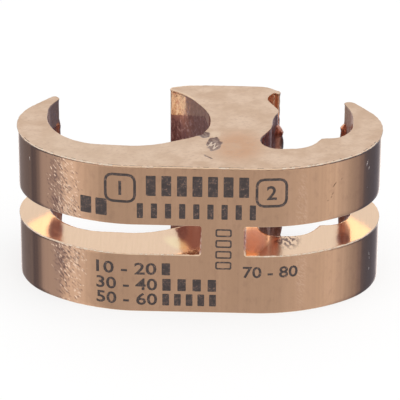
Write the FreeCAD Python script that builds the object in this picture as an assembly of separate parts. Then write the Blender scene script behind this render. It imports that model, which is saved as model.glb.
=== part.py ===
import FreeCAD, Part
import math
import os
from collections import namedtuple

# A grounding connector cut from one length of E-shaped copper bar.
# The web is at the front (-Y). A large and a small pocket open to the back (+Y),
# with a stem and its head between them and a hooked arm on each side.
# A flat slot is milled in from each side at mid height, so that a tie can hold
# the rod and the wire, and leaves two rings joined by one column in the middle.
# Millimetres. X runs left to right, Z up from the lower cut face, and the origin
# is the middle of the bar's footprint.

# Height of the piece and of the slots in it
CUT_LENGTH = 25.4
SLOT_HEIGHT = 5.08
SLOT_CORNER_RADIUS = 0.4
COLUMN_WIDTH = 6.5
COLUMN_STEP = 0.8

# Walls and openings across the bar, from left to right
LEFT_ARM_WALL = 4.6
LARGE_POCKET_WIDTH = 25.5
STEM_WALL = 9.7
SMALL_POCKET_WIDTH = 12.5
RIGHT_ARM_WALL = 4.7

# Walls and reaches from the front of the bar to its back
BAR_DEPTH = 28.7
LARGE_WEB_WALL = 6.9
SMALL_WEB_WALL = 6.85
ARM_REACH = 24.1

# Outside of the web and of both arms
FRONT_CORNER_IN = 11.2
FRONT_RADIUS = 25.0
SIDE_CORNER_BACK = 8.7
SIDE_RADIUS = 12.5
SHOULDER_DROP = 6.3
SHOULDER_RADIUS = 9.5

# Arm tips, which hook in over the pockets
LEFT_TIP_HOOK = 1.5
RIGHT_TIP_HOOK = 1.4
LEFT_TIP_DROP = 1.1
RIGHT_TIP_DROP = 0.75
LEFT_TIP_THICKNESS = 0.9
RIGHT_TIP_THICKNESS = 1.25
LEFT_TIP_RADIUS = 0.7
RIGHT_TIP_RADIUS = 1.2
TIP_EDGE_RADIUS = 0.35

# Large pocket, for a ground rod or a reinforcing bar
LARGE_HOOK_LENGTH = 4.1
LARGE_HOOK_RADIUS = 5.0
LARGE_LEFT_RISE = 5.7
LARGE_LEFT_RADIUS = 10.2
LARGE_FLOOR_LEFT_IN = 5.7
LARGE_FLOOR_LEFT_LIFT = 0.6
LARGE_FLOOR_LEFT_RADIUS = 9.2
LARGE_FLOOR_RIGHT_IN = 9.5
LARGE_FLOOR_RIGHT_RADIUS = 12.0
LARGE_RIGHT_IN = 0.3
LARGE_RIGHT_RISE = 4.5
LARGE_RIGHT_RADIUS = 6.0
LARGE_STEM_OUT = 0.2
LARGE_STEM_RISE = 11.3
LARGE_STEM_RADIUS = 10.0

# Head of the stem
HEAD_LEFT_OVERHANG = 6.8
HEAD_RIGHT_OVERHANG = 1.2
HEAD_THROAT_IN = 3.85
HEAD_THROAT_DROP = 3.5
HEAD_THROAT_RADIUS = 11.3
HEAD_LEFT_POINT_OUT = 0.8
HEAD_LEFT_POINT_DROP = 1.4
HEAD_LEFT_POINT_RADIUS = 0.6
HEAD_LEFT_BACK_IN = 2.6
HEAD_RIGHT_BACK_IN = 1.5
HEAD_BACK_DROP = 0.2
HEAD_BACK_LEFT_RADIUS = 2.8
HEAD_BACK_RIGHT_RADIUS = 3.4
HEAD_CROWN_IN = 5.6
HEAD_CROWN_RADIUS = 30.0
HEAD_LIP_OUT = 0.25
HEAD_LIP_DROP = 2.9
HEAD_LIP_RADIUS = 0.3

# Finger notch under the right end of the head, and the bump below it
NOTCH_TOP_IN = 1.0
NOTCH_TOP_DROP = 2.05
NOTCH_TOP_RADIUS = 0.5
NOTCH_IN = 2.45
NOTCH_DROP = 4.1
NOTCH_RADIUS = 2.6
BUMP_OUT = 1.05
BUMP_DROP = 8.6
BUMP_RADIUS = 1.4

# Small pocket: the wire nest at its floor, then a ledge up to the right arm
STEM_HOLLOW_DROP = 11.4
STEM_HOLLOW_RADIUS = 8.0
STEM_FOOT_DROP = 14.5
STEM_FOOT_RADIUS = 5.0
NEST_LEFT_OUT = 2.1
NEST_LEFT_RISE = 3.1
NEST_LEFT_RADIUS = 3.1
NEST_FLOOR_LEFT_OUT = 0.6
NEST_FLOOR_LEFT_RADIUS = 3.0
NEST_FLOOR_RIGHT_IN = 5.65
NEST_FLOOR_RIGHT_LIFT = 0.4
NEST_FLOOR_RIGHT_RADIUS = 4.5
LEDGE_WIDTH = 3.05
LEDGE_INNER_IN = 7.6
LEDGE_HEIGHT = 3.9
LEDGE_SLOPE_RISE = 0.4
LEDGE_INNER_RADIUS = 0.6
LEDGE_OUTER_RADIUS = 3.0
SMALL_RIGHT_RISE = 7.3
SMALL_RIGHT_RADIUS = 4.9
SMALL_HOOK_LENGTH = 4.4
SMALL_HOOK_RADIUS = 9.8

Corner = namedtuple("Corner", "x y radius")
Round = namedtuple("Round", "start middle end")


def levels():
    """Work out the lines that the section's corners are measured from."""
    width = LEFT_ARM_WALL + LARGE_POCKET_WIDTH + STEM_WALL + SMALL_POCKET_WIDTH + RIGHT_ARM_WALL
    left = -width / 2
    large_left = left + LEFT_ARM_WALL
    large_right = large_left + LARGE_POCKET_WIDTH
    small_left = large_right + STEM_WALL
    small_right = small_left + SMALL_POCKET_WIDTH
    front = -BAR_DEPTH / 2
    return {
        "left": left,
        "large_left": large_left,
        "large_right": large_right,
        "small_left": small_left,
        "small_right": small_right,
        "right": small_right + RIGHT_ARM_WALL,
        "front": front,
        "large_floor": front + LARGE_WEB_WALL,
        "small_floor": front + SMALL_WEB_WALL,
        "tip": front + ARM_REACH,
        "back": front + BAR_DEPTH,
    }


def left_arm_corners(at):
    """Outside of the left half of the web, and the left arm to its tip."""
    inner = at["large_left"] + LEFT_TIP_HOOK
    return [
        Corner(at["left"] + FRONT_CORNER_IN, at["front"], FRONT_RADIUS),
        Corner(at["left"], at["front"] + SIDE_CORNER_BACK, SIDE_RADIUS),
        Corner(at["left"], at["tip"] - SHOULDER_DROP, SHOULDER_RADIUS),
        Corner(inner - LEFT_TIP_THICKNESS, at["tip"], LEFT_TIP_RADIUS),
        Corner(inner, at["tip"] - LEFT_TIP_DROP, TIP_EDGE_RADIUS),
    ]


def large_pocket_corners(at):
    """Wall of the large pocket, from the left arm's hook round to the stem."""
    return [
        Corner(at["large_left"], at["tip"] - LARGE_HOOK_LENGTH, LARGE_HOOK_RADIUS),
        Corner(at["large_left"], at["large_floor"] + LARGE_LEFT_RISE, LARGE_LEFT_RADIUS),
        Corner(
            at["large_left"] + LARGE_FLOOR_LEFT_IN,
            at["large_floor"] + LARGE_FLOOR_LEFT_LIFT,
            LARGE_FLOOR_LEFT_RADIUS,
        ),
        Corner(at["large_right"] - LARGE_FLOOR_RIGHT_IN, at["large_floor"], LARGE_FLOOR_RIGHT_RADIUS),
        Corner(
            at["large_right"] - LARGE_RIGHT_IN,
            at["large_floor"] + LARGE_RIGHT_RISE,
            LARGE_RIGHT_RADIUS,
        ),
        Corner(
            at["large_right"] + LARGE_STEM_OUT,
            at["large_floor"] + LARGE_STEM_RISE,
            LARGE_STEM_RADIUS,
        ),
    ]


def head_corners(at):
    """Head of the stem, over its back and down to the bump on its right side."""
    head_left = at["large_right"] - HEAD_LEFT_OVERHANG
    head_right = at["small_left"] + HEAD_RIGHT_OVERHANG
    back = at["back"]
    return [
        Corner(at["large_right"] - HEAD_THROAT_IN, back - HEAD_THROAT_DROP, HEAD_THROAT_RADIUS),
        Corner(head_left - HEAD_LEFT_POINT_OUT, back - HEAD_LEFT_POINT_DROP, HEAD_LEFT_POINT_RADIUS),
        Corner(head_left + HEAD_LEFT_BACK_IN, back - HEAD_BACK_DROP, HEAD_BACK_LEFT_RADIUS),
        Corner(head_left + HEAD_CROWN_IN, back, HEAD_CROWN_RADIUS),
        Corner(head_right - HEAD_CROWN_IN, back, HEAD_CROWN_RADIUS),
        Corner(head_right - HEAD_RIGHT_BACK_IN, back - HEAD_BACK_DROP, HEAD_BACK_RIGHT_RADIUS),
        Corner(head_right + HEAD_LIP_OUT, back - HEAD_LIP_DROP, HEAD_LIP_RADIUS),
        Corner(head_right - NOTCH_TOP_IN, back - NOTCH_TOP_DROP, NOTCH_TOP_RADIUS),
        Corner(head_right - NOTCH_IN, back - NOTCH_DROP, NOTCH_RADIUS),
        Corner(at["small_left"] + BUMP_OUT, back - BUMP_DROP, BUMP_RADIUS),
    ]


def small_pocket_corners(at):
    """Wall of the small pocket, from the stem through the nest to the right arm."""
    return [
        Corner(at["small_left"], at["back"] - STEM_HOLLOW_DROP, STEM_HOLLOW_RADIUS),
        Corner(at["small_left"], at["back"] - STEM_FOOT_DROP, STEM_FOOT_RADIUS),
        Corner(
            at["small_left"] - NEST_LEFT_OUT,
            at["small_floor"] + NEST_LEFT_RISE,
            NEST_LEFT_RADIUS,
        ),
        Corner(at["small_left"] - NEST_FLOOR_LEFT_OUT, at["small_floor"], NEST_FLOOR_LEFT_RADIUS),
        Corner(
            at["small_left"] + NEST_FLOOR_RIGHT_IN,
            at["small_floor"] + NEST_FLOOR_RIGHT_LIFT,
            NEST_FLOOR_RIGHT_RADIUS,
        ),
        Corner(
            at["small_left"] + LEDGE_INNER_IN,
            at["small_floor"] + LEDGE_HEIGHT,
            LEDGE_INNER_RADIUS,
        ),
        Corner(
            at["small_left"] + LEDGE_INNER_IN + LEDGE_WIDTH,
            at["small_floor"] + LEDGE_HEIGHT + LEDGE_SLOPE_RISE,
            LEDGE_OUTER_RADIUS,
        ),
        Corner(at["small_right"], at["small_floor"] + SMALL_RIGHT_RISE, SMALL_RIGHT_RADIUS),
        Corner(at["small_right"], at["tip"] - SMALL_HOOK_LENGTH, SMALL_HOOK_RADIUS),
    ]


def right_arm_corners(at):
    """Right arm from its tip, and the outside of the right half of the web."""
    inner = at["small_right"] - RIGHT_TIP_HOOK
    return [
        Corner(inner, at["tip"] - RIGHT_TIP_DROP, TIP_EDGE_RADIUS),
        Corner(inner + RIGHT_TIP_THICKNESS, at["tip"], RIGHT_TIP_RADIUS),
        Corner(at["right"], at["tip"] - SHOULDER_DROP, SHOULDER_RADIUS),
        Corner(at["right"], at["front"] + SIDE_CORNER_BACK, SIDE_RADIUS),
        Corner(at["right"] - FRONT_CORNER_IN, at["front"], FRONT_RADIUS),
    ]


def rounding(before, corner, after, limit_before, limit_after):
    """Give the arc that rounds one corner, tangent to the lines on both sides."""
    point = FreeCAD.Vector(corner.x, corner.y, 0)
    back_along = (FreeCAD.Vector(before.x, before.y, 0) - point).normalize()
    on_along = (FreeCAD.Vector(after.x, after.y, 0) - point).normalize()
    half_angle = back_along.getAngle(on_along) / 2
    reach = min(corner.radius / math.tan(half_angle), limit_before, limit_after)
    radius = reach * math.tan(half_angle)
    bisector = (back_along + on_along).normalize()
    nearest = radius / math.sin(half_angle) - radius
    return Round(point + back_along * reach, point + bisector * nearest, point + on_along * reach)


def tangent_need(before, corner, after):
    """How far from a corner its arc would start if it had all the room it wants."""
    point = FreeCAD.Vector(corner.x, corner.y, 0)
    back_along = FreeCAD.Vector(before.x, before.y, 0) - point
    on_along = FreeCAD.Vector(after.x, after.y, 0) - point
    return corner.radius / math.tan(back_along.getAngle(on_along) / 2)


def outline(corners):
    """Close a wire round the corners. Two arcs that share a short side share its length."""
    count = len(corners)
    around = [(corners[i - 1], corners[i], corners[(i + 1) % count]) for i in range(count)]
    needs = [tangent_need(*three) for three in around]
    limits = []
    for i in range(count):
        following = corners[(i + 1) % count]
        side = math.hypot(following.x - corners[i].x, following.y - corners[i].y)
        limits.append(min(1.0, side / (needs[i] + needs[(i + 1) % count])))
    rounds = []
    for i in range(count):
        rounds.append(rounding(*around[i], needs[i] * limits[i - 1], needs[i] * limits[i]))
    edges = []
    for i in range(count):
        edges.append(Part.Arc(*rounds[i]).toShape())
        start = rounds[i].end
        end = rounds[(i + 1) % count].start
        if start.distanceToPoint(end) > 1e-6:
            edges.append(Part.LineSegment(start, end).toShape())
    return Part.Wire(edges)


def section_face(at):
    """The bar's E section as one flat face."""
    corners = (
        left_arm_corners(at)
        + large_pocket_corners(at)
        + head_corners(at)
        + small_pocket_corners(at)
        + right_arm_corners(at)
    )
    return Part.Face(outline(corners))


def slot_cutter(outer_x, end_x):
    """A slot from outside one arm in to its end face, with rounded end corners."""
    bottom = (CUT_LENGTH - SLOT_HEIGHT) / 2
    low_x = min(outer_x, end_x)
    corner = FreeCAD.Vector(low_x, -BAR_DEPTH, bottom)
    block = Part.makeBox(abs(outer_x - end_x), 2 * BAR_DEPTH, SLOT_HEIGHT, corner)
    end_edges = []
    for edge in block.Edges:
        middle = edge.CenterOfMass
        if abs(middle.x - end_x) < 1e-6 and abs(middle.y) < 1e-6:
            end_edges.append(edge)
    return block.makeFillet(min(SLOT_CORNER_RADIUS, 0.45 * SLOT_HEIGHT), end_edges)


def connector_body():
    """Cut the bar to length, then mill one slot from each side to the column."""
    at = levels()
    bar = section_face(at).extrude(FreeCAD.Vector(0, 0, CUT_LENGTH))
    column_left = at["large_right"] - COLUMN_STEP
    column_right = column_left + COLUMN_WIDTH
    clear_left = at["left"] - BAR_DEPTH
    clear_right = at["right"] + BAR_DEPTH
    slotted = bar.cut(slot_cutter(clear_left, column_left))
    return slotted.cut(slot_cutter(clear_right, column_right))


os.makedirs("parts", exist_ok=True)
body = connector_body()
body.exportStep("parts/connector_body.step")
box = body.BoundBox
print("connector_body", len(body.Solids), "solid, valid", body.isValid())
print("box", round(box.XLength, 2), round(box.YLength, 2), round(box.ZLength, 2))
print("from x", round(box.XMin, 3), round(box.XMax, 3), "y", round(box.YMin, 3), round(box.YMax, 3))
print("volume cm3", round(body.Volume / 1000, 3))
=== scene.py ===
# %% [markdown]
# # A copper grounding connector
#
# The real object is one short length of E-shaped copper bar. It was sawn off at both
# ends and slotted from each side, so it is two rings on one column. This lesson dresses
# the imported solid: it rebuilds the body with the rounded, slightly torn edges that a saw
# and a cutter leave, gives each kind of face its own finish, and stamps plain marks on
# the front. All shapes come from the frame, so nothing has to be fitted afterwards.

import math
import random

import bmesh
import bpy
import numpy as np
from mathutils import Matrix, Vector, noise
from mathutils.geometry import delaunay_2d_cdt


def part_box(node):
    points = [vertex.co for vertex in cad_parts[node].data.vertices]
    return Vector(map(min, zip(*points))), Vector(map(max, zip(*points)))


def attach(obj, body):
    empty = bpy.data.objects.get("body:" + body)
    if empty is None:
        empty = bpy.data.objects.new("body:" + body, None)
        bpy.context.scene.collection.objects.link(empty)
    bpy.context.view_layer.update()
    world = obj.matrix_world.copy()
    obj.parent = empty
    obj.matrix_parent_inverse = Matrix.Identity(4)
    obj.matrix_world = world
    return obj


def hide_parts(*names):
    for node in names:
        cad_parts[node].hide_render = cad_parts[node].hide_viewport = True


MM = 0.001
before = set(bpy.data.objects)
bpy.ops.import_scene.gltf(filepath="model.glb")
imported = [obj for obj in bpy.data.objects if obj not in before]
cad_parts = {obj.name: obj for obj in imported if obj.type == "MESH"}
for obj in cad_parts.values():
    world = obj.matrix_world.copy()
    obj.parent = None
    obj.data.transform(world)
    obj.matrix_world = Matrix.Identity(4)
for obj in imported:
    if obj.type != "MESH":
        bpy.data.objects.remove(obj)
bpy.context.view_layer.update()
BODY_NODE = "connector_body"
BODY = "root"
body_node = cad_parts[BODY_NODE]
low_corner, high_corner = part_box(BODY_NODE)
TOP = high_corner.z / MM
print("frame", BODY_NODE, [round(x / MM, 2) for x in high_corner - low_corner], "mm")

# %% [markdown]
# ## The camera
#
# The photograph was taken from the front and a little above, with a long lens. The
# camera's height, distance and small turn were worked out from the edges of the cut
# faces, so the same numbers place it here. It comes first, because everything after it
# is judged through it.

# %% Camera
VIEW_ELEVATION = math.radians(28)
VIEW_TURN = math.radians(1.8)
VIEW_ROLL = math.radians(0.33)
FOCAL_PIXELS = 3150
PIXELS_PER_MM = 6.37
FRAME_PIXELS = 400
SENSOR_MM = 36
AIM = Vector((0.135, -0.845, 12.7)) * MM


def photo_camera():
    """A camera that sees the object as the photograph does."""
    lens = bpy.data.cameras.new("camera")
    lens.sensor_width = SENSOR_MM
    lens.lens = FOCAL_PIXELS / FRAME_PIXELS * SENSOR_MM
    lens.clip_start = 0.01
    turn = Matrix.Rotation(VIEW_TURN, 3, "Z")
    forward = turn @ Vector((0, math.cos(VIEW_ELEVATION), -math.sin(VIEW_ELEVATION)))
    right = turn @ Vector((1, 0, 0))
    up = turn @ Vector((0, math.sin(VIEW_ELEVATION), math.cos(VIEW_ELEVATION)))
    c, s = math.cos(VIEW_ROLL), math.sin(VIEW_ROLL)
    axes = Matrix((right * c + up * s, up * c - right * s, -forward)).transposed()
    camera = bpy.data.objects.new("camera", lens)
    camera.matrix_world = axes.to_4x4()
    camera.location = AIM - forward * (FOCAL_PIXELS / PIXELS_PER_MM * MM)
    bpy.context.scene.collection.objects.link(camera)
    return camera


scene = bpy.context.scene
scene.camera = photo_camera()
scene.view_settings.view_transform = "Standard"
print("camera at", [round(x, 3) for x in scene.camera.location], "m")

# %% [markdown]
# ## Helpers for node trees
#
# A material is a small tree of nodes, with patterns at one end and the shader at the
# other. These first helpers keep the trees short to read: one adds any node, and the
# others are small sums.

# %% Node helpers
def add_node(tree, kind, inputs=None, **settings):
    """Add a node, set its properties, and set or link its inputs by name or number."""
    node = tree.nodes.new(kind)
    for name, value in settings.items():
        setattr(node, name, value)
    for key, value in (inputs or {}).items():
        if isinstance(value, bpy.types.NodeSocket):
            tree.links.new(value, node.inputs[key])
        else:
            node.inputs[key].default_value = value
    return node


def maths(tree, operation, *values):
    """The result of one Math node."""
    node = add_node(tree, "ShaderNodeMath", dict(enumerate(values)), operation=operation)
    return node.outputs["Value"]


def times(tree, first, second):
    """Multiply two values."""
    return maths(tree, "MULTIPLY", first, second)


def largest(tree, values):
    """The largest of several values."""
    most = values[0]
    for value in values[1:]:
        most = maths(tree, "MAXIMUM", most, value)
    return most


print("node helpers ready")

# %% [markdown]
# ## Helpers for patterns
#
# All wear here is made of two patterns, and so are the painted shade and light: noise,
# whose grains have a length, a width and a height of their own, and soft ellipses that say
# where something happened or where shade and reflections are painted. Both are measured
# in millimetres of the object, so their sizes are real sizes.

# %% Pattern helpers
def ramp(tree, value, low, high, to_low=0.0, to_high=1.0):
    """Map value from low..high to to_low..to_high, smoothly and clamped."""
    ends = {"From Min": low, "From Max": high, "To Min": to_low, "To Max": to_high}
    node = add_node(
        tree, "ShaderNodeMapRange", {"Value": value, **ends}, interpolation_type="SMOOTHSTEP"
    )
    return node.outputs["Result"]


def local_place(tree, place, size, turn=(0, 0, 0), centre=(0, 0, 0)):
    """The place as seen from a centre, turned, and measured in sizes of the pattern."""
    moves = {"Vector": place, "Location": centre, "Rotation": turn, "Scale": size}
    return add_node(tree, "ShaderNodeMapping", moves, vector_type="TEXTURE").outputs["Vector"]


def grain(tree, place, size, detail=2.0, turn=(0, 0, 0)):
    """Noise whose grains measure size = (x, y, z) millimetres, from 0 to 1."""
    settings = {"Vector": local_place(tree, place, size, turn), "Scale": 1.0, "Detail": detail}
    return add_node(tree, "ShaderNodeTexNoise", settings).outputs["Fac"]


def spot(tree, place, centre, size, turn=0.0, soft=0.5):
    """1 inside an ellipse round centre, 0 outside; size is its half lengths, in mm."""
    local = local_place(tree, place, size, (0, 0, turn), centre)
    away = add_node(tree, "ShaderNodeVectorMath", {0: local}, operation="LENGTH")
    return ramp(tree, away.outputs["Value"], 1.0, 1.0 - soft)


print("pattern helpers ready")

# %% [markdown]
# ## Helpers for colour and relief
#
# A finish is a base tone with more tones laid over it, each by its own share. Then its
# colour, roughness and relief go to the shader.

# %% Colour helpers
def mixed(tree, share, first, second):
    """Mix two colours by share; a plain colour is three numbers."""
    node = add_node(tree, "ShaderNodeMix", {0: share}, data_type="RGBA")
    for key, colour in ((6, first), (7, second)):
        if isinstance(colour, bpy.types.NodeSocket):
            tree.links.new(colour, node.inputs[key])
        else:
            node.inputs[key].default_value = (*colour, 1)
    return node.outputs[2]


def layered(tree, tone, *layers):
    """Lay colours over a tone one after another, each by its own share."""
    for share, colour in layers:
        tone = mixed(tree, share, tone, colour)
    return tone


def bumped(tree, height, distance, strength=1.0, under=None):
    """Turn a height from 0 to 1 into a normal, distance millimetres deep."""
    settings = {"Height": height, "Strength": strength, "Distance": distance * MM}
    if under is not None:
        settings["Normal"] = under
    return add_node(tree, "ShaderNodeBump", settings).outputs["Normal"]


def carried(tree, name):
    """A number that the mesh carries for each of its points."""
    return add_node(tree, "ShaderNodeAttribute", attribute_name=name).outputs["Fac"]


def new_material(name, metallic=1.0):
    """A material with its shader and a millimetre position to build patterns on."""
    material = bpy.data.materials.new(name)
    material.use_nodes = True
    tree = material.node_tree
    shader = tree.nodes["Principled BSDF"]
    shader.inputs["Metallic"].default_value = metallic
    place = add_node(tree, "ShaderNodeTexCoord")
    in_mm = add_node(tree, "ShaderNodeMapping", {"Vector": place.outputs["Object"]})
    in_mm.inputs["Scale"].default_value = (1 / MM,) * 3
    return material, tree, shader, in_mm.outputs["Vector"]


def feed(tree, shader, **values):
    """Link results to the shader's inputs: base_color goes to Base Color, and so on."""
    for name, value in values.items():
        tree.links.new(value, shader.inputs[name.replace("_", " ").title()])


print("colour helpers ready")

# %% [markdown]
# ## The floor
#
# The floor is white to the camera and keeps part of its real shading, so the object
# still casts its shadow on it. Mirror rays pass through it and see the sky instead,
# because the tones in bare copper come from what stands round it. Only under the pockets
# a shaded patch, which nothing but mirror rays sees, takes the floor's place.

# %% Floor
FLOOR_SIZE = 3.0
FLOOR_COLOUR = (0.85, 0.85, 0.85, 1)
FLOOR_ROUGHNESS = 0.7
FLOOR_GLOW = 0.7
SHADED_FLOOR = (0.40, 0.40, 0.40, 1)
# Two opposite corners of the shaded patch, in mm
PATCH_CORNERS = ((-24.0, -7.6, 0.02), (23.8, 13.0, 0.02))


def plane(name, material_name, size, colour):
    """A square sheet with a material. Gives the sheet, its node tree and its shader."""
    bpy.ops.mesh.primitive_plane_add(size=size)
    sheet = bpy.context.object
    sheet.name = name
    material = bpy.data.materials.new(material_name)
    material.use_nodes = True
    sheet.data.materials.append(material)
    shader = material.node_tree.nodes["Principled BSDF"]
    shader.inputs["Base Color"].default_value = colour
    return sheet, material.node_tree, shader


def white_floor():
    """A floor that shows as white and still takes a soft shadow."""
    floor, tree, shader = plane("floor", "white_floor", FLOOR_SIZE, FLOOR_COLOUR)
    shader.inputs["Roughness"].default_value = FLOOR_ROUGHNESS
    glow = add_node(tree, "ShaderNodeEmission", {"Color": (1, 1, 1, 1), "Strength": 1.0})
    ray = add_node(tree, "ShaderNodeLightPath")
    share = times(tree, ray.outputs["Is Camera Ray"], FLOOR_GLOW)
    both = add_node(
        tree,
        "ShaderNodeMixShader",
        {0: share, 1: shader.outputs["BSDF"], 2: glow.outputs["Emission"]},
    )
    tree.links.new(both.outputs["Shader"], tree.nodes["Material Output"].inputs["Surface"])
    floor.visible_glossy = False


def shaded_patch():
    """The shaded floor under the pockets, for mirror rays that come down through them."""
    low, high = (Vector(corner) for corner in PATCH_CORNERS)
    patch, _, _ = plane("floor_patch", "shaded_floor", 1, SHADED_FLOOR)
    patch.scale = ((high.x - low.x) * MM, (high.y - low.y) * MM, 1)
    patch.location = (low + high) / 2 * MM
    for kind in ("camera", "diffuse", "transmission", "volume_scatter", "shadow"):
        setattr(patch, "visible_" + kind, False)


white_floor()
shaded_patch()
print("floor: white,", FLOOR_SIZE, "m square")

# %% [markdown]
# ## The sky and the lamp
#
# A pale, even sky and one weak lamp light the object. Bare metal shows its surroundings
# more than its own colour. In the photograph those are pale in front, bright behind and
# dark at both sides, which is what gives the copper its dark ends. So mirror rays, and
# they alone, see a sky with those tones: a lower half that changes with the heading, and
# an upper half that changes a little with the height.

# %% Tones of the sky
SKY = (0.84, 0.84, 0.84)
BRIGHTEST = 2.2
# The lower sky by heading in degrees: 0 is in front, 90 to the right, 180 behind. A tone
# is one number for a grey, or a colour
LOWER_SKY = (
    (-180, 2.10), (-168, 1.90), (-160, (0.60, 0.60, 0.62)), (-150, (0.31, 0.31, 0.34)),
    (-117, (0.22, 0.23, 0.28)), (-97, (0.26, 0.27, 0.33)), (-90, (0.37, 0.37, 0.41)),
    (-86, (0.92, 0.92, 0.95)), (-80, 1.04), (-50, 1.06), (-43, 0.86), (-36, 0.76),
    (-27, 0.62), (-10, 0.67), (22, 0.71), (29, 0.76), (35, 0.90), (45, 0.80),
    (59, (0.95, 0.95, 0.93)), (67, (0.87, 0.87, 0.88)), (73, (0.66, 0.66, 0.68)),
    (81, (0.54, 0.54, 0.57)), (91, (0.44, 0.42, 0.46)), (97, (0.36, 0.35, 0.40)),
    (102, (0.18, 0.19, 0.26)), (113, (0.13, 0.16, 0.24)), (138, (0.15, 0.18, 0.26)),
    (156, (0.35, 0.38, 0.45)), (168, 1.90), (180, 2.10),
)
# The upper sky by height in degrees, a little darker between backdrop and zenith
UPPER_SKY = ((0, 0.88), (34, 0.88), (42, 0.78), (58, 0.76), (66, 0.84), (90, 0.86))
# Where the upper sky gives way to the lower one, in degrees of height
HORIZON = (-1.0, -12.0)
print("sky with", len(LOWER_SKY), "tones below the horizon and", len(UPPER_SKY), "above it")

# %% [markdown]
# ## Sky and lamp in the scene
#
# A ramp of colours holds the tones, with the heading or the height as its input. A ramp
# can't hold more than 1, so the tones are divided by the brightest and multiplied again.
# The lamp only adds a soft direction to the light, and mirror rays don't see it.

# %% Sky and lamp
LAMP_SIZE = 0.5
LAMP_WATTS = 2.0
LAMP_PLACE = (0.10, -0.10, 0.60)


def toned(tree, place, stops, lowest, highest):
    """A colour ramp over lowest..highest from (place, tone) stops, as bright as written."""
    span = {"Value": place, "From Min": lowest, "From Max": highest}
    along = add_node(tree, "ShaderNodeMapRange", span)
    tones = add_node(tree, "ShaderNodeValToRGB", {"Fac": along.outputs["Result"]})
    elements = tones.color_ramp.elements
    for k, (where, tone) in enumerate(stops):
        colour = tone if isinstance(tone, tuple) else (tone,) * 3
        position = (where - lowest) / (highest - lowest)
        stop = elements[k] if k < 2 else elements.new(position)
        stop.position = position
        stop.color = [c / BRIGHTEST for c in colour] + [1]
    bright = {0: tones.outputs["Color"], "Scale": BRIGHTEST}
    return add_node(tree, "ShaderNodeVectorMath", bright, operation="SCALE").outputs["Vector"]


def angle_of(tree, kind, *values):
    """An inverse trigonometric function of its inputs, in degrees."""
    return times(tree, maths(tree, kind, *values), 180 / math.pi)


def pale_sky():
    """An even pale light from all round, with tones that only mirror rays see."""
    world = bpy.data.worlds.new("sky")
    world.use_nodes = True
    tree = world.node_tree
    place = add_node(tree, "ShaderNodeTexCoord")
    parts = add_node(tree, "ShaderNodeSeparateXYZ", {0: place.outputs["Generated"]}).outputs
    heading = angle_of(tree, "ARCTAN2", parts["X"], times(tree, parts["Y"], -1.0))
    height = angle_of(tree, "ARCSINE", parts["Z"])
    lower = toned(tree, heading, LOWER_SKY, -180, 180)
    upper = toned(tree, height, UPPER_SKY, 0, 90)
    mirrored = mixed(tree, ramp(tree, height, *HORIZON), upper, lower)
    ray = add_node(tree, "ShaderNodeLightPath")
    seen = mixed(tree, ray.outputs["Is Glossy Ray"], SKY, mirrored)
    tree.links.new(seen, tree.nodes["Background"].inputs["Color"])
    scene.world = world


def soft_lamp(name, place):
    """A square lamp at place, in metres, turned to the object and hidden from mirror rays."""
    lamp = bpy.data.lights.new(name, "AREA")
    lamp.size = LAMP_SIZE
    lamp.energy = LAMP_WATTS
    holder = bpy.data.objects.new(name, lamp)
    holder.location = place
    holder.rotation_euler = (-Vector(place)).to_track_quat("-Z", "Y").to_euler()
    holder.visible_glossy = False
    scene.collection.objects.link(holder)


pale_sky()
soft_lamp("overhead", LAMP_PLACE)
print("lamp of", LAMP_WATTS, "W on", LAMP_SIZE, "m")

# %% [markdown]
# ## The section, read from the frame
#
# Every wall of the body is the same E-shaped outline moved up or down, so the outline is
# all that has to be known. It is the rim of the top cut face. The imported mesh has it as
# short straight chords, and a glossy wall would show every chord, so each chord becomes
# a piece of a smooth curve that leaves its ends along the true tangent.

# %% Read the rim and the slot
# A face counts as level when its normal points this much up or down
LEVEL = 0.99
SLACK = 0.01


def top_rim(node):
    """The top cut face's outline, anticlockwise, as an array of millimetres."""
    sheet = bmesh.new()
    sheet.from_mesh(node.data)
    bmesh.ops.remove_doubles(sheet, verts=sheet.verts, dist=1e-6)
    sheet.normal_update()
    sheet.verts.index_update()
    follows = {}
    for face in sheet.faces:
        if face.normal.z < LEVEL or face.calc_center_median().z < (TOP - SLACK) * MM:
            continue
        for corner in face.loops:
            if corner.link_loop_radial_next.face.normal.z < LEVEL:
                follows[corner.vert.index] = corner.link_loop_next.vert.index
    sheet.verts.ensure_lookup_table()
    at = next(iter(follows))
    rim = []
    for _ in follows:
        rim.append((sheet.verts[at].co.x / MM, sheet.verts[at].co.y / MM))
        at = follows[at]
    sheet.free()
    return np.array(rim)


def slot_sizes(node):
    """Floor, roof and corner radius of the slots, and the column's two sides."""
    floors, roofs, sides = [], [], []
    corners = node.data.vertices
    for face in node.data.polygons:
        z = [corners[i].co.z / MM for i in face.vertices]
        if face.normal.z > LEVEL and max(z) < TOP - 1:
            floors.append(min(z))
        if face.normal.z < -LEVEL and min(z) > 1:
            roofs.append(max(z))
    floor_z, roof_z = min(floors), max(roofs)
    for face in node.data.polygons:
        z = [corners[i].co.z / MM for i in face.vertices]
        if abs(face.normal.x) > 0.9999 and min(z) > floor_z and max(z) < roof_z:
            sides.append((face.center.x / MM, min(z)))
    left, right = min(x for x, _ in sides), max(x for x, _ in sides)
    return floor_z, roof_z, min(z for _, z in sides) - floor_z, left, right


rim = top_rim(body_node)
SLOT_FLOOR, SLOT_ROOF, SLOT_CORNER, COLUMN_LEFT, COLUMN_RIGHT = slot_sizes(body_node)
print("rim of", len(rim), "chords; slot from", round(SLOT_FLOOR, 2), "to", round(SLOT_ROOF, 2))
print("column from", round(COLUMN_LEFT, 2), "to", round(COLUMN_RIGHT, 2), "mm")
print("slot corners of", round(SLOT_CORNER, 2), "mm")

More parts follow.
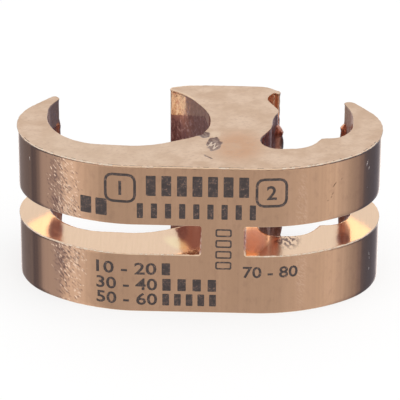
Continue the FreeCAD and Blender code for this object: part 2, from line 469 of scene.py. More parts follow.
# %% [markdown]
# ## A smooth outline
#
# Each chord is replaced by a cubic curve that starts and ends along the outline's
# tangent. The tangent at a corner is taken from both chords that meet there. Chords
# longer than any arc's are the bar's straight runs, and keep their heading.

# %% Smooth the outline
STATION_SPACING = 0.22
STRAIGHT_RUN = 1.2


def around(values, steps):
    """The array shifted so that each place holds the value that many steps ahead."""
    return np.roll(values, -steps, axis=0)


def rounded(points, spacing):
    """Replace each chord by a smooth curve through the same points."""
    chord = around(points, 1) - points
    ahead = np.linalg.norm(chord, axis=1)
    heading = chord / ahead[:, None]
    behind = around(ahead, -1)
    share = ahead / (ahead + behind)
    share[(behind > STRAIGHT_RUN) & (behind > ahead)] = 1.0
    share[(ahead > STRAIGHT_RUN) & (ahead > behind)] = 0.0
    tangent = share[:, None] * around(heading, -1) + (1 - share)[:, None] * heading
    tangent /= np.linalg.norm(tangent, axis=1)[:, None]
    end, end_tangent = around(points, 1), around(tangent, 1)
    curve = []
    for i, length in enumerate(ahead):
        steps = max(1, math.ceil(length / spacing))
        t = (np.arange(steps) / steps)[:, None]
        curve.append(
            (2 * t**3 - 3 * t**2 + 1) * points[i]
            + (t**3 - 2 * t**2 + t) * length * tangent[i]
            + (3 * t**2 - 2 * t**3) * end[i]
            + (t**3 - t**2) * length * end_tangent[i]
        )
    return np.vstack(curve)


def run_lengths(points):
    """Distance along the closed outline to each point, and its whole length."""
    steps = np.linalg.norm(around(points, 1) - points, axis=1)
    total = np.cumsum(steps)
    return np.concatenate([[0.0], total[:-1]]), total[-1]


def normals_of(points):
    """Outward unit normals of an anticlockwise outline."""
    forward = around(points, 1) - points
    ahead = np.linalg.norm(forward, axis=1)
    heading = forward / ahead[:, None]
    behind = around(ahead, -1)
    tangent = around(heading, -1) * ahead[:, None] + heading * behind[:, None]
    tangent /= np.linalg.norm(tangent, axis=1)[:, None]
    return np.column_stack([tangent[:, 1], -tangent[:, 0]])


smooth_rim = rounded(rim, STATION_SPACING)
print("smooth outline of", len(smooth_rim), "points")

# %% [markdown]
# ## Stations
#
# The points of the outline are the stations at which the walls will rise. Extra ones go
# where the outline passes the column's sides, because the slots start there and their
# rounded corners need a few close points.

# %% Set out the stations
CORNER_STATIONS = (0.05, 0.12, 0.22, 0.4)
TOO_CLOSE = 0.03


def crossings(points, x):
    """Where along the outline it passes a given x."""
    along, total = run_lengths(points)
    after = around(points, 1)
    found = np.flatnonzero((points[:, 0] - x) * (after[:, 0] - x) < 0)
    share = (x - points[found, 0]) / (after[found, 0] - points[found, 0])
    step = np.linalg.norm(after[found] - points[found], axis=1)
    return along[found] + share * step, total


def with_stations(points):
    """Add points where the slots begin, and a few close to them."""
    along, total = run_lengths(points)
    wanted = []
    for x in (COLUMN_LEFT, COLUMN_RIGHT):
        for here in crossings(points, x)[0]:
            wanted.append(here)
            wanted += [here + d for d in CORNER_STATIONS]
            wanted += [here - d for d in CORNER_STATIONS]
    wanted = np.sort(np.mod(wanted, total))
    near = np.abs(along[:, None] - wanted[None, :]).min(axis=1) < TOO_CLOSE
    kept = np.sort(np.concatenate([along[~near], wanted]))
    closed_along = np.concatenate([along, [total]])
    closed = np.vstack([points, points[:1]])
    return np.column_stack([np.interp(kept, closed_along, closed[:, k]) for k in (0, 1)])


outline = with_stations(smooth_rim)
from_start = np.hypot(outline[:, 0] - COLUMN_LEFT, outline[:, 1] - outline[:, 1].min())
outline = around(outline, int(np.argmin(from_start)))
normals = normals_of(outline)
ALONG, PERIMETER = run_lengths(outline)
COUNT = len(outline)
print("outline of", COUNT, "stations,", round(PERIMETER, 1), "mm round")

# %% [markdown]
# ## Which wall is which
#
# From the left tip round the front to the right tip is the bar's drawn skin. The rest is
# the inside of the pockets and the head, which the die left rougher. A measure along
# the front, zero at the middle, is what the marks and the wear are placed with.

# %% Name the walls
ARM_SIDE = 18.0
# The head's back lies behind this y and between these x
HEAD_BACK_EDGES = (12.6, -8.0, 13.0)
left_half = outline[:, 0] < -ARM_SIDE
right_half = outline[:, 0] > ARM_SIDE
left_tip = int(np.flatnonzero(left_half)[np.argmax(outline[left_half, 1])])
right_tip = int(np.flatnonzero(right_half)[np.argmax(outline[right_half, 1])])
IS_SKIN = np.zeros(COUNT, bool)
IS_SKIN[left_tip:] = True
IS_SKIN[: right_tip + 1] = True
HALF_WAY = ALONG + outline[0, 0]
FRONT_RUN = np.where(np.arange(COUNT) >= left_tip, HALF_WAY - PERIMETER, HALF_WAY)
SLOT_REACH = np.maximum(COLUMN_LEFT - outline[:, 0], outline[:, 0] - COLUMN_RIGHT)
GATES = np.flatnonzero(np.abs(SLOT_REACH) < 1e-4)
SLOT_REACH[GATES] = 0.0
spread = np.abs(ALONG[:, None] - ALONG[None, GATES])
GATE_DISTANCE = np.minimum(spread, PERIMETER - spread).min(axis=1)
behind, left, right = HEAD_BACK_EDGES
HEAD_BACK = (outline[:, 1] > behind) & (outline[:, 0] > left) & (outline[:, 0] < right)
IS_DRAWN = IS_SKIN | HEAD_BACK
print("skin stations", int(IS_SKIN.sum()), "pocket stations", int((~IS_SKIN).sum()))

# %% [markdown]
# ## How far each wall stands back
#
# The saw pushed a thin lip outwards round the top, so the walls stand a little inside
# the cut face's outline and flare out to it in the last half millimetre. Die lines run
# up the drawn skin as very low waves. In the pockets the metal is pitted, and at four
# places it bulges where it was squeezed. All of this is one function of the station and
# the height, so it can shape the walls and also carry the marks.

# %% Wall shape
SKIN_SET_BACK = 0.22
POCKET_SET_BACK = 0.10
LIP_HEIGHT = 0.45
FLOOR_LIP_SHARE = 0.45
DIE_LINE_DEPTH = 0.060
PIT_DEPTH = 0.035
LEAST_SET_BACK = 0.01
# The set-back of the pockets starts from nothing at the column, over this length
GATE_FADE = 1.2
# How much of the set-back the lip takes back, and how unevenly
LIP_FLARE = (0.80, 0.30)
BULGE_LUMPS = 0.35
BULGE_FADE = 0.8
WAVE_COUNT = 16
random.seed(11)
DIE_WAVES = [
    (random.randint(30, 330), random.uniform(0, 2 * math.pi), random.uniform(0.4, 1.0))
    for _ in range(WAVE_COUNT)
]
# Bulges: x, y, highest z, reach along the wall, how far they stand out
BULGES = (
    (12.25, 5.30, 22.9, 1.15, 0.90),
    (12.20, 12.35, 27.0, 0.45, 0.28),
    (22.50, 8.70, 21.9, 0.75, 0.55),
    (-22.45, 8.60, 21.6, 0.80, 0.20),
)


def smooth(value):
    """Ease from 0 to 1."""
    t = min(1.0, max(0.0, value))
    return t * t * (3 - 2 * t)


def lumps(x, y, z):
    """Smooth noise from -1 to 1, with lumps about one unit wide."""
    return noise.noise(Vector((x, y, z)))


def die_lines(i):
    """Low waves across the skin, the same from top to bottom."""
    angle = 2 * math.pi * ALONG[i] / PERIMETER
    waves = [
        size / math.sqrt(turns) * math.sin(turns * angle + phase)
        for turns, phase, size in DIE_WAVES
    ]
    return DIE_LINE_DEPTH * sum(waves) / math.sqrt(WAVE_COUNT)


def bulge(i, z):
    """How far the squeezed places stand out at this station and height."""
    out = 0.0
    for x, y, highest, reach, height in BULGES:
        away = math.hypot(outline[i, 0] - x, outline[i, 1] - y)
        if away < 3 * reach:
            lumpy = 1 + BULGE_LUMPS * lumps(x, z * 1.3, away)
            across = math.exp(-((away / reach) ** 2))
            out += height * lumpy * across * smooth((highest - z) / BULGE_FADE)
    return out


def set_back(i, z, lip=0.0):
    """How far the wall stands inside the cut face's outline, in millimetres."""
    x, y = outline[i]
    if IS_SKIN[i]:
        back = SKIN_SET_BACK + die_lines(i)
    else:
        pits = lumps(x * 1.7, y * 1.7, z * 1.1)
        pits += 0.6 * lumps(x * 4.1, y * 4.1, z * 2.6)
        pit_depth = 0.0 if HEAD_BACK[i] else PIT_DEPTH
        back = (POCKET_SET_BACK + pit_depth * pits) * smooth(GATE_DISTANCE[i] / GATE_FADE)
    flare = LIP_FLARE[0] + LIP_FLARE[1] * lumps(x * 1.9, y * 1.9, 3.0)
    return max(LEAST_SET_BACK, back * (1 - lip * flare)) - bulge(i, z)


print("set back at the front's middle", round(set_back(20, 20.0), 3), "mm")

# %% [markdown]
# ## Damage on the top face
#
# Near the stem the top face has a torn patch, a dent on the pocket's edge and a scratch.
# They are real depressions here: a function gives the depth at any place on the face,
# and the face gets enough points there to follow it.

# %% Dents
# Centres and reaches in x and y; the ridge and the scratch run between points
TORN_CENTRE = (2.35, -6.15)
TORN_REACH = (1.25, 2.35)
TORN_DEPTH = 0.16
DENT_CENTRE = (0.75, -3.0)
DENT_REACH = (1.25, 1.35)
DENT_DEPTH = 0.22
RIDGE = ((1.5, -7.0), (2.05, -5.5), (1.9, -6.85), (2.6, -5.85), (2.35, -7.85), (3.0, -6.7))
RIDGE_WIDTH = 0.12
SCRATCH_ENDS = ((1.15, -10.1), (2.15, -11.0))
SCRATCH_WIDTH = 0.19
SCRATCH_DEPTH = 0.08
# How uneven the outlines are, and how soft, in units of the reach
EDGE_WOBBLE = 0.38
TORN_EDGE = 0.25
DENT_EDGE = 0.9


def from_line(x, y, ends):
    """Distance from a point to a short line."""
    (ax, ay), (bx, by) = ends
    along = ((x - ax) * (bx - ax) + (y - ay) * (by - ay)) / ((bx - ax) ** 2 + (by - ay) ** 2)
    along = min(1.0, max(0.0, along))
    return math.hypot(x - ax - along * (bx - ax), y - ay - along * (by - ay))


def ridge(x, y):
    """How much of the torn patch's bright ridge is at a place, from 0 to 1."""
    away = min(from_line(x, y, ends) for ends in zip(RIDGE, RIDGE[1:]))
    return smooth(1.6 - away / RIDGE_WIDTH)


def from_centre(x, y, centre, reach):
    """Distance from a centre, in units of the reach along x and along y."""
    return math.hypot((x - centre[0]) / reach[0], (y - centre[1]) / reach[1])


def damage(x, y):
    """Depth of the top face's damage at a place, in millimetres."""
    wobble = EDGE_WOBBLE * lumps(x * 1.3, y * 0.9, 7.0)
    torn = from_centre(x, y, TORN_CENTRE, TORN_REACH)
    ridges = 0.75 + 0.5 * lumps(x * 3.4, y * 1.9, 1.0)
    depth = TORN_DEPTH * ridges * smooth((1 + wobble - torn) / TORN_EDGE)
    depth *= 1 - 0.7 * ridge(x, y)
    dent = from_centre(x, y, DENT_CENTRE, DENT_REACH)
    depth += DENT_DEPTH * smooth((1 + wobble - dent) / DENT_EDGE)
    depth += SCRATCH_DEPTH * smooth(1 - from_line(x, y, SCRATCH_ENDS) / SCRATCH_WIDTH)
    return max(0.0, depth)


tried = [damage(x / 10, y / 10) for x in range(50) for y in range(-120, 0)]
print("deepest dent", round(max(tried), 2), "mm")

# %% [markdown]
# ## The body as one closed shell
#
# The body could be cut with booleans, but then its edges would be knife-sharp and its
# walls made of slivers. Building it station by station keeps every edge round: each
# station gets a column of points from the bottom face up to the slot, and another from
# the slot's roof to the top. Only where the column stands do points run up between them.
# First comes a plain list of points and faces, in which each face has a kind. The kind
# chooses its finish later.

# %% Shell of points and faces
SKIN, POCKET, SAWN, MILLED, SEAM, TORN = range(6)


class Shell:
    """Points in millimetres and faces with a kind, gathered before they become a mesh."""

    def __init__(self):
        self.points = []
        self.runs = []
        self.faces = []
        self.kinds = []

    def point(self, x, y, z, run=0.0):
        self.points.append((x, y, z))
        self.runs.append(run)
        return len(self.points) - 1

    def face(self, corners, kind):
        kept = [c for k, c in enumerate(corners) if c != corners[k - 1]]
        if len(set(kept)) > 2:
            self.faces.append(kept)
            self.kinds.append(kind)


shell = Shell()
print("kinds of face:", TORN + 1)

# %% [markdown]
# ## Heights and the torn lip
#
# A ring's columns have a round at the foot, even rows in the middle and close rows under
# the rim. The last rows draw the lip: up, over and down to the cut face behind it. The
# lip's height is uneven, and it shrinks on the head's thin edge, where the rims of both
# sides would meet.

# %% Heights and lip
RING_ROWS = 15
RIM_ROUND = 0.07
BOTTOM_ROUND = 0.12
NEAR_TOP = (0.80, 0.60, 0.45, 0.34, 0.24)
LIP_RISE = 0.05
# The lip's profile: how far above or below the face, and how far in from the wall
LIP_PROFILE = ((-0.13, 0.0), (-0.05, 0.02), (0.0, 0.06), (0.045, 0.11), (0.0, 0.17), (0.0, 0.30))
# Round the head's thin lip: from how far off there is room, and over what length
ROOM_FROM = 0.5
ROOM_OVER = 0.9


def slot_round(reach):
    """How much a slot's corner lifts its floor at this distance from the column."""
    if reach >= SLOT_CORNER:
        return 0.0
    return SLOT_CORNER - math.sqrt(SLOT_CORNER**2 - (SLOT_CORNER - max(0.0, reach)) ** 2)


def ring_levels(low, face, low_round, lip_size):
    """Heights up one ring, how far each is pulled in, and how much of the lip it has."""
    part = 0.3 * low_round
    levels = [(low, low_round, 0), (low + part, part, 0), (low + low_round, 0, 0)]
    levels += [(z, 0.0, 0) for z in np.linspace(low + low_round, face - 1.0, RING_ROWS)[1:]]
    levels += [(face - down, 0.0, 0) for down in NEAR_TOP]
    levels += [(face + rise * lip_size, pull * lip_size, 1) for rise, pull in LIP_PROFILE]
    return levels


def wall_place(i, z, lip=0.0, pull=0.0):
    """Where the wall stands at a station and height; a gate stays on the column's side."""
    x, y = outline[i] - normals[i] * (set_back(i, z, lip) + pull)
    return (outline[i, 0] if SLOT_REACH[i] == 0.0 else x), y


# The head's thin lip is the outermost point right of the column and behind the pocket
on_head = (outline[:, 0] > COLUMN_RIGHT) & (outline[:, 0] < 15) & (outline[:, 1] > 10)
head_side = outline[on_head]
THIN_LIP = head_side[np.argmax(head_side[:, 0])]


def room_for_lip(i):
    """0 on the head's thin lip, where two rims would meet, and 1 away from it."""
    return smooth((math.dist(outline[i], THIN_LIP) - ROOM_FROM) / ROOM_OVER)


def ragged(x, y, seed):
    """Uneven height of the torn lip, from 0 to 1."""
    coarse = lumps(x * 0.9, y * 0.9, seed)
    fine = lumps(x * 2.6, y * 2.6, seed + 5)
    return min(1.0, max(0.0, 0.62 + 0.7 * coarse + 0.6 * fine))


print("thin lip at", [round(float(c), 1) for c in THIN_LIP])

# %% [markdown]
# ## Columns of points
#
# Each station gets its two columns here. The slot's floor and roof round up to the
# column, so close to it both columns end a little higher or lower, and their lips fade.

# %% Ring columns
FADE_REACH = 0.5
# The share of the lip's height over which the wall flares out
FLARE_SHARE = 0.75
LEAST_PULL = 0.06
DENT_DEEP = 0.6


def ring_column(shell, i, low, face, low_round, lip_size, lip_share):
    """One station's points up one ring."""
    ids = []
    room = room_for_lip(i)
    for z, pull, on_lip in ring_levels(low, face, low_round, lip_size):
        lip = lip_share * smooth((z - face + LIP_HEIGHT) / (LIP_HEIGHT * FLARE_SHARE))
        x, y = wall_place(i, z, lip, min(pull, LEAST_PULL + room * pull))
        if z > face and on_lip:
            z = face + (z - face) * ragged(x, y, face)
        if face > SLOT_ROOF:
            z -= damage(x, y) * smooth(1 - (face - z) / DENT_DEEP)
        same = ids and math.dist(shell.points[ids[-1]], (x, y, z)) < 1e-5
        ids.append(ids[-1] if same else shell.point(x, y, z, FRONT_RUN[i]))
    return ids


TOP_FACE = TOP - LIP_RISE
lower, upper = [], []
for i in range(COUNT):
    fade = smooth(SLOT_REACH[i] / FADE_REACH)
    lift = slot_round(SLOT_REACH[i])
    share = FLOOR_LIP_SHARE * fade
    lower.append(ring_column(shell, i, 0.0, SLOT_FLOOR + lift, BOTTOM_ROUND, fade, share))
    upper.append(ring_column(shell, i, SLOT_ROOF - lift, TOP_FACE, RIM_ROUND * fade, 1.0, 1.0))
print("ring columns:", COUNT, "stations,", len(shell.points), "points")

# %% [markdown]
# ## Walls between the stations
#
# Neighbouring columns are joined by quads. The narrow bands on the rims get the bright
# finish of cut metal, because that is what catches the light on the real edges. Round the
# shoulders the rims are torn and paler, partly a painted highlight, and dirt and painted
# shade fill the seam behind them here and there.

# %% Join the walls
COLUMN_ROWS = 9
RIM_ROWS = 5
SEAM_ROWS = 2
# How far along the front, either way, the dirty seam reaches and the shoulders start
SEAM_REACH = 31.0
BRIGHT_RUN = 13.0
# Dirt and painted shade fill the seam where noise from -1 to 1 is above these
DIRT_AND_SHADE_IN_FRONT = -0.16
DIRT_AND_SHADE_ON_SHOULDER = 0.10
# The bright lip of the head: behind this y, and between these x
BRIGHT_LIP = (9.0, -7.0, 0.0)
middle = {}
column_levels = np.linspace(SLOT_FLOOR + SLOT_CORNER, SLOT_ROOF - SLOT_CORNER, COLUMN_ROWS)
for i in range(COUNT):
    if SLOT_REACH[i] <= 0:
        ids = [lower[i][-1]]
        for z in column_levels[1:-1]:
            ids.append(shell.point(*wall_place(i, z), z, FRONT_RUN[i]))
        middle[i] = ids + [upper[i][0]]


def join(shell, here, there, kind, rim_rows=0, rim_kind=MILLED, seam=MILLED):
    """Quads between two columns of points; the top rows are the rim and its seam."""
    last = len(here) - 2
    for row in range(len(here) - 1):
        on_rim = rim_rows and (row < 2 or row > last - rim_rows)
        row_kind = rim_kind if on_rim else kind
        if rim_rows and row > last - SEAM_ROWS:
            row_kind = seam
        shell.face((here[row], there[row], there[row + 1], here[row + 1]), row_kind)


def top_kinds(i):
    """Kinds of the top rim and of the seam behind it, which dirt and painted shade fill here and
    there.
    """
    x, y = outline[i]
    behind, left, right = BRIGHT_LIP
    if y > behind and left < x < right:
        return MILLED, MILLED
    if not IS_SKIN[i] or abs(FRONT_RUN[i]) > SEAM_REACH:
        return SAWN, SAWN
    on_shoulder = abs(FRONT_RUN[i]) > BRIGHT_RUN
    # Dirt and painted shade: noise chooses the darkened stretches of the seam
    dirt_and_shade = lumps(x * 1.3, y * 1.3, 9.0)
    darkened = dirt_and_shade > (DIRT_AND_SHADE_ON_SHOULDER if on_shoulder else DIRT_AND_SHADE_IN_FRONT)
    return TORN if on_shoulder else MILLED, SEAM if darkened else SAWN


for i in range(COUNT):
    j = (i + 1) % COUNT
    kind = SKIN if IS_DRAWN[i] and IS_DRAWN[j] else POCKET
    top_rim_kind, seam = top_kinds(i)
    floor_rim_kind = TORN if top_rim_kind == TORN else MILLED
    join(shell, lower[i], lower[j], kind, RIM_ROWS, floor_rim_kind)
    join(shell, upper[i], upper[j], kind, RIM_ROWS, top_rim_kind, seam)
    if i in middle and j in middle:
        join(shell, middle[i], middle[j], kind)
print("wall faces:", len(shell.faces))

# %% [markdown]
# ## The column's sides
#
# The column has one side towards the right slot and two towards the left one, because
# the large pocket comes between them. Each side is a flat grid between two stations.

# %% Column sides
left_gates = [int(i) for i in GATES if abs(outline[i, 0] - COLUMN_LEFT) < 0.01]
right_gates = [int(i) for i in GATES if abs(outline[i, 0] - COLUMN_RIGHT) < 0.01]
front_left, back_left, throat, pocket_wall = left_gates
front_right, back_right = right_gates
SIDE_SPACING = 0.6


def column_side(shell, start, end):
    """A flat side between two stations. Gives its lowest and highest line of points."""
    a, b = middle[start], middle[end]
    steps = max(2, round(math.dist(outline[start], outline[end]) / SIDE_SPACING))
    columns = [a]
    for k in range(1, steps):
        line = []
        for low, high in zip(a, b):
            near, far = Vector(shell.points[low]), Vector(shell.points[high])
            line.append(shell.point(*near.lerp(far, k / steps)))
        columns.append(line)
    columns.append(b)
    for here, there in zip(columns, columns[1:]):
        join(shell, here, there, MILLED)
    return [c[0] for c in columns], [c[-1] for c in columns]


right_side = column_side(shell, front_right, back_right)
stem_side = column_side(shell, back_left, throat)
web_side = column_side(shell, pocket_wall, front_left)
print("column sides joined; faces:", len(shell.faces))

# %% [markdown]
# ## Points for a flat face
#
# A flat face is a ring of rim points with nothing inside. Small, even triangles shade
# cleanly, so points of a triangular lattice are added, but only inside the ring and not
# too close to it, where they would make slivers.

# %% Points inside a ring


def inside(points, ring):
    """Which points lie inside a closed ring."""
    after = around(ring, 1)
    x, y = points[:, 0, None], points[:, 1, None]
    spans = (ring[None, :, 1] > y) != (after[None, :, 1] > y)
    rise = after[:, 1] - ring[:, 1]
    slope = (after[:, 0] - ring[:, 0]) / np.where(rise == 0, 1e-9, rise)
    cross = ring[None, :, 0] + (y - ring[None, :, 1]) * slope[None, :]
    return (spans & (x < cross)).sum(axis=1) % 2 == 1


def clear_points(points, ring, gap):
    """Keep the points that are inside the ring and not too close to it."""
    points = points[inside(points, ring)]
    away = np.hypot(points[:, 0, None] - ring[None, :, 0], points[:, 1, None] - ring[None, :, 1])
    return points[away.min(axis=1) > gap]


def lattice(low, high, spacing):
    """Points of a triangular lattice over a rectangle."""
    rows = np.arange(low[1], high[1], spacing * 0.866)
    points = []
    for k, y in enumerate(rows):
        for x in np.arange(low[0] + (k % 2) * spacing / 2, high[0], spacing):
            points.append((x, y))
    return np.array(points)


print("lattice of a 2 mm square:", len(lattice((0, 0), (2, 2), 0.5)), "points")

# %% [markdown]
# ## Fill a ring
#
# A Delaunay triangulation keeps every rim point and uses the added ones. Where the face
# is damaged, or rounds up to the column, the extra points sit close together, and the
# even ones near them are left out.

# %% Fill a ring
FACE_SPACING = 0.9
EDGE_GAP = 0.30
EXTRA_EDGE_GAP = 0.06
EXTRA_GAP = 0.35


def fill(shell, ids, extra, height, kind, up):
    """Fill a ring of shell points with triangles; height(x, y) places the added points."""
    ring = np.array([shell.points[i][:2] for i in ids], np.float32).astype(float)
    coarse = clear_points(lattice(ring.min(0), ring.max(0), FACE_SPACING), ring, EDGE_GAP)
    if len(extra):
        extra = clear_points(extra, ring, EXTRA_EDGE_GAP)
        away = np.hypot(*(coarse[:, None, :] - extra[None, :, :]).transpose(2, 0, 1)).min(axis=1)
        coarse = np.vstack([coarse[away > EXTRA_GAP], extra])
    places = [Vector(p) for p in ring] + [Vector(p) for p in coarse]
    flat = delaunay_2d_cdt(places, [], [list(range(len(ring)))], 1, 1e-6, True)
    within = inside(np.array(flat[0], float)[np.array(flat[2])].mean(axis=1), ring)
    new_ids = []
    for place, sources in zip(flat[0], flat[3]):
        on_ring = [s for s in sources if s < len(ring)]
        x, y = place
        new_ids.append(ids[on_ring[0]] if on_ring else shell.point(x, y, height(x, y)))
    for corners in (c for c, kept in zip(flat[2], within) if kept):
        face = [new_ids[c] for c in corners]
        a, b, c = (flat[0][k] for k in corners[:3])
        turns_left = (b - a).cross(c - a) > 0
        shell.face(face if turns_left == up else face[::-1], kind)
    return int(within.sum())


print("even points", FACE_SPACING, "mm apart")

# %% [markdown]
# ## Flat faces
#
# The two cut faces are whole rings. A slot's floor or roof is an arc of the outline that
# is closed by the line of a column side. There are three of each, because the large
# pocket parts the left slot in two.

# %% Fill the flat faces
FINE_SPACING = 0.13
FINE_SHARE = 0.15
SIDE_STEP = 0.45


def arc_ids(columns, start, end, row):
    """Rim points from one station round to another."""
    count = (end - start) % COUNT
    return [columns[(start + k) % COUNT][row] for k in range(count + 1)]


def slot_face(shell, start, end, side, floor):
    """Floor or roof of a slot: an arc of the outline closed by a column side's line."""
    columns, row, line = (lower, -1, side[0]) if floor else (upper, 0, side[1])
    arc = arc_ids(columns, start, end, row)
    closing = [i for i in line if i not in (arc[0], arc[-1])]
    first, second = (shell.points[k] for k in (closing[0], arc[-1]))
    if math.dist(shell.points[closing[-1]], second) < math.dist(first, second):
        closing.reverse()
    side_x = shell.points[closing[0]][0]
    outward = 1 if side_x > 4 else -1
    y_low = min(shell.points[k][1] for k in closing)
    y_high = max(shell.points[k][1] for k in closing)
    near = [
        (side_x + outward * reach, y)
        for reach in CORNER_STATIONS
        for y in np.arange(y_low - 0.4, y_high + 0.4, SIDE_STEP)
    ]

    def height(x, _):
        lift = slot_round(outward * (x - side_x))
        return SLOT_FLOOR + lift if floor else SLOT_ROOF - lift

    return fill(shell, arc + closing, np.array(near), height, MILLED, floor)


worn = lattice((-0.6, -11.6), (4.1, -1.4), FINE_SPACING)
worn = worn[[damage(x, y) > 0.002 or random.random() < FINE_SHARE for x, y in worn]]
top_ring = [column[-1] for column in upper]
bottom_ring = [column[0] for column in lower]
made = [
    fill(shell, top_ring, worn, lambda x, y: TOP_FACE - damage(x, y), SAWN, True),
    fill(shell, bottom_ring, [], lambda x, y: 0.0, SAWN, False),
]
for floor in (True, False):
    made.append(slot_face(shell, front_right, back_right, right_side, floor))
    made.append(slot_face(shell, back_left, throat, stem_side, floor))
    made.append(slot_face(shell, pocket_wall, front_left, web_side, floor))
print("flat faces:", made)

# %% [markdown]
# ## Finish of the drawn skin
#
# The object is bare copper all over. What sets its faces apart is how each was made:
# drawn, sawn, milled or torn. So each way has a material of its own, and one mesh wears
# them all, face by face. A finish starts from a base tone that noise varies, and then each
# thing that happened to the metal is laid over it, and so are some painted shade, painted
# reflections and painted highlights.
#
# The skin that the die left is brown and a little dull. It has streaks up the bar, a
# darker band of painted shade at its left end, and near its left end a band that was rubbed
# in short slanting strokes. At the right there are a few cuts and scuffs. All of it is
# placed as if the front were unrolled: by the distance along it, and by the height.

# %% Tones and wear of the skin
SKIN_TONES = {
    "brown": (0.59, 0.362, 0.232),
    "light brown": (0.64, 0.395, 0.255),
    "streak": (0.55, 0.33, 0.215),
    "cloud": (0.70, 0.43, 0.30),
    "mottle": (0.50, 0.30, 0.20),
    # painted shade: the darker tone at the front's left end
    "left_end_shade": (0.36, 0.22, 0.155),
    "rubbed pale": (0.80, 0.57, 0.43),
    "rubbed dark": (0.34, 0.21, 0.18),
    "light stroke": (0.92, 0.68, 0.52),
    "dark stroke": (0.15, 0.085, 0.075),
    "faint band": (0.78, 0.53, 0.39),
    "cut": (0.10, 0.05, 0.035),
    "scuff": (0.90, 0.80, 0.72),
}
# Along the front: where the painted shade at the left end starts, is full, fades and ends
LEFT_END_SHADE = (-28.3, -27.5, -22.6, -20.6)
# Places on the unrolled front: centre, half lengths and turn
SPECKLED = ((-22.1, 12.7, 0), (2.3, 19, 9), 0.06)
SPARSE = ((-19.9, 14.0, 0), (3.2, 17, 9), 0.06)
FAINT_BAND = ((16.3, 12.7, 0), (1.3, 16, 9))
SCRATCHES = (
    ((21.7, 21.2, 0), (0.62, 0.09, 9), 0.87),
    ((21.4, 19.7, 0), (0.30, 0.07, 9), 0.80),
    ((21.2, 19.2, 0), (0.22, 0.07, 9), 0.80),
    ((20.6, 18.7, 0), (0.20, 0.06, 9), 0.30),
    ((23.0, 21.9, 0), (0.24, 0.06, 9), 0.87),
)
SCUFFS = (
    ((28.4, 22.9, 0), (0.22, 0.75, 9), -0.35),
    ((28.9, 21.8, 0), (0.16, 0.40, 9), -0.35),
    ((28.6, 18.6, 0), (0.12, 0.22, 9), 0.0),
    ((-28.3, 22.6, 0), (0.14, 0.60, 9), 0.1),
    ((29.8, 6.0, 0), (0.14, 1.10, 9), 0.2),
    ((29.9, 3.6, 0), (0.22, 0.35, 9), 0.0),
)
STROKE_SIZE = (0.42, 0.10, 1)
STROKE_TURN = -0.75
# The share of strokes that are dark and light, in the dense and in the sparse band
DARK_STROKES = (0.50, 0.24)
LIGHT_STROKES = (0.16, 0.22)
print("skin: rubbed band round", SPECKLED[0][0], "mm along the front")

# %% [markdown]
# ## Strokes
#
# The rubbed band could be painted stroke by stroke, but a pattern is shorter. The strokes
# are the cells of a Voronoi pattern that is stretched and turned, and each cell's own
# random colour says whether it is dark, light or left alone. The mesh carries how far
# along the front each of its points is, and that unrolls the pattern.

# %% Drawn skin
def front_place(tree, place):
    """Coordinates on the unrolled front: distance along it and height, in mm."""
    run = carried(tree, "front_run")
    parts = add_node(tree, "ShaderNodeSeparateXYZ", {0: place})
    flat = add_node(tree, "ShaderNodeCombineXYZ", {0: run, 1: parts.outputs["Z"]})
    return flat.outputs["Vector"], run


def strokes_of(tree, place):
    """Short strokes that fill a surface, as two random numbers for each stroke."""
    turned = local_place(tree, place, STROKE_SIZE, (0, 0, STROKE_TURN))
    cells = add_node(
        tree, "ShaderNodeTexVoronoi", {"Vector": turned, "Scale": 1.0}, voronoi_dimensions="2D"
    )
    numbers = add_node(tree, "ShaderNodeSeparateXYZ", {0: cells.outputs["Color"]}).outputs
    return numbers["X"], numbers["Y"]


def chosen(tree, number, bands, shares):
    """1 for the strokes that are chosen by the shares of two bands, 0 for the others."""
    dense, sparse = (times(tree, band, share) for band, share in zip(bands, shares))
    return maths(tree, "LESS_THAN", number, maths(tree, "ADD", dense, sparse))


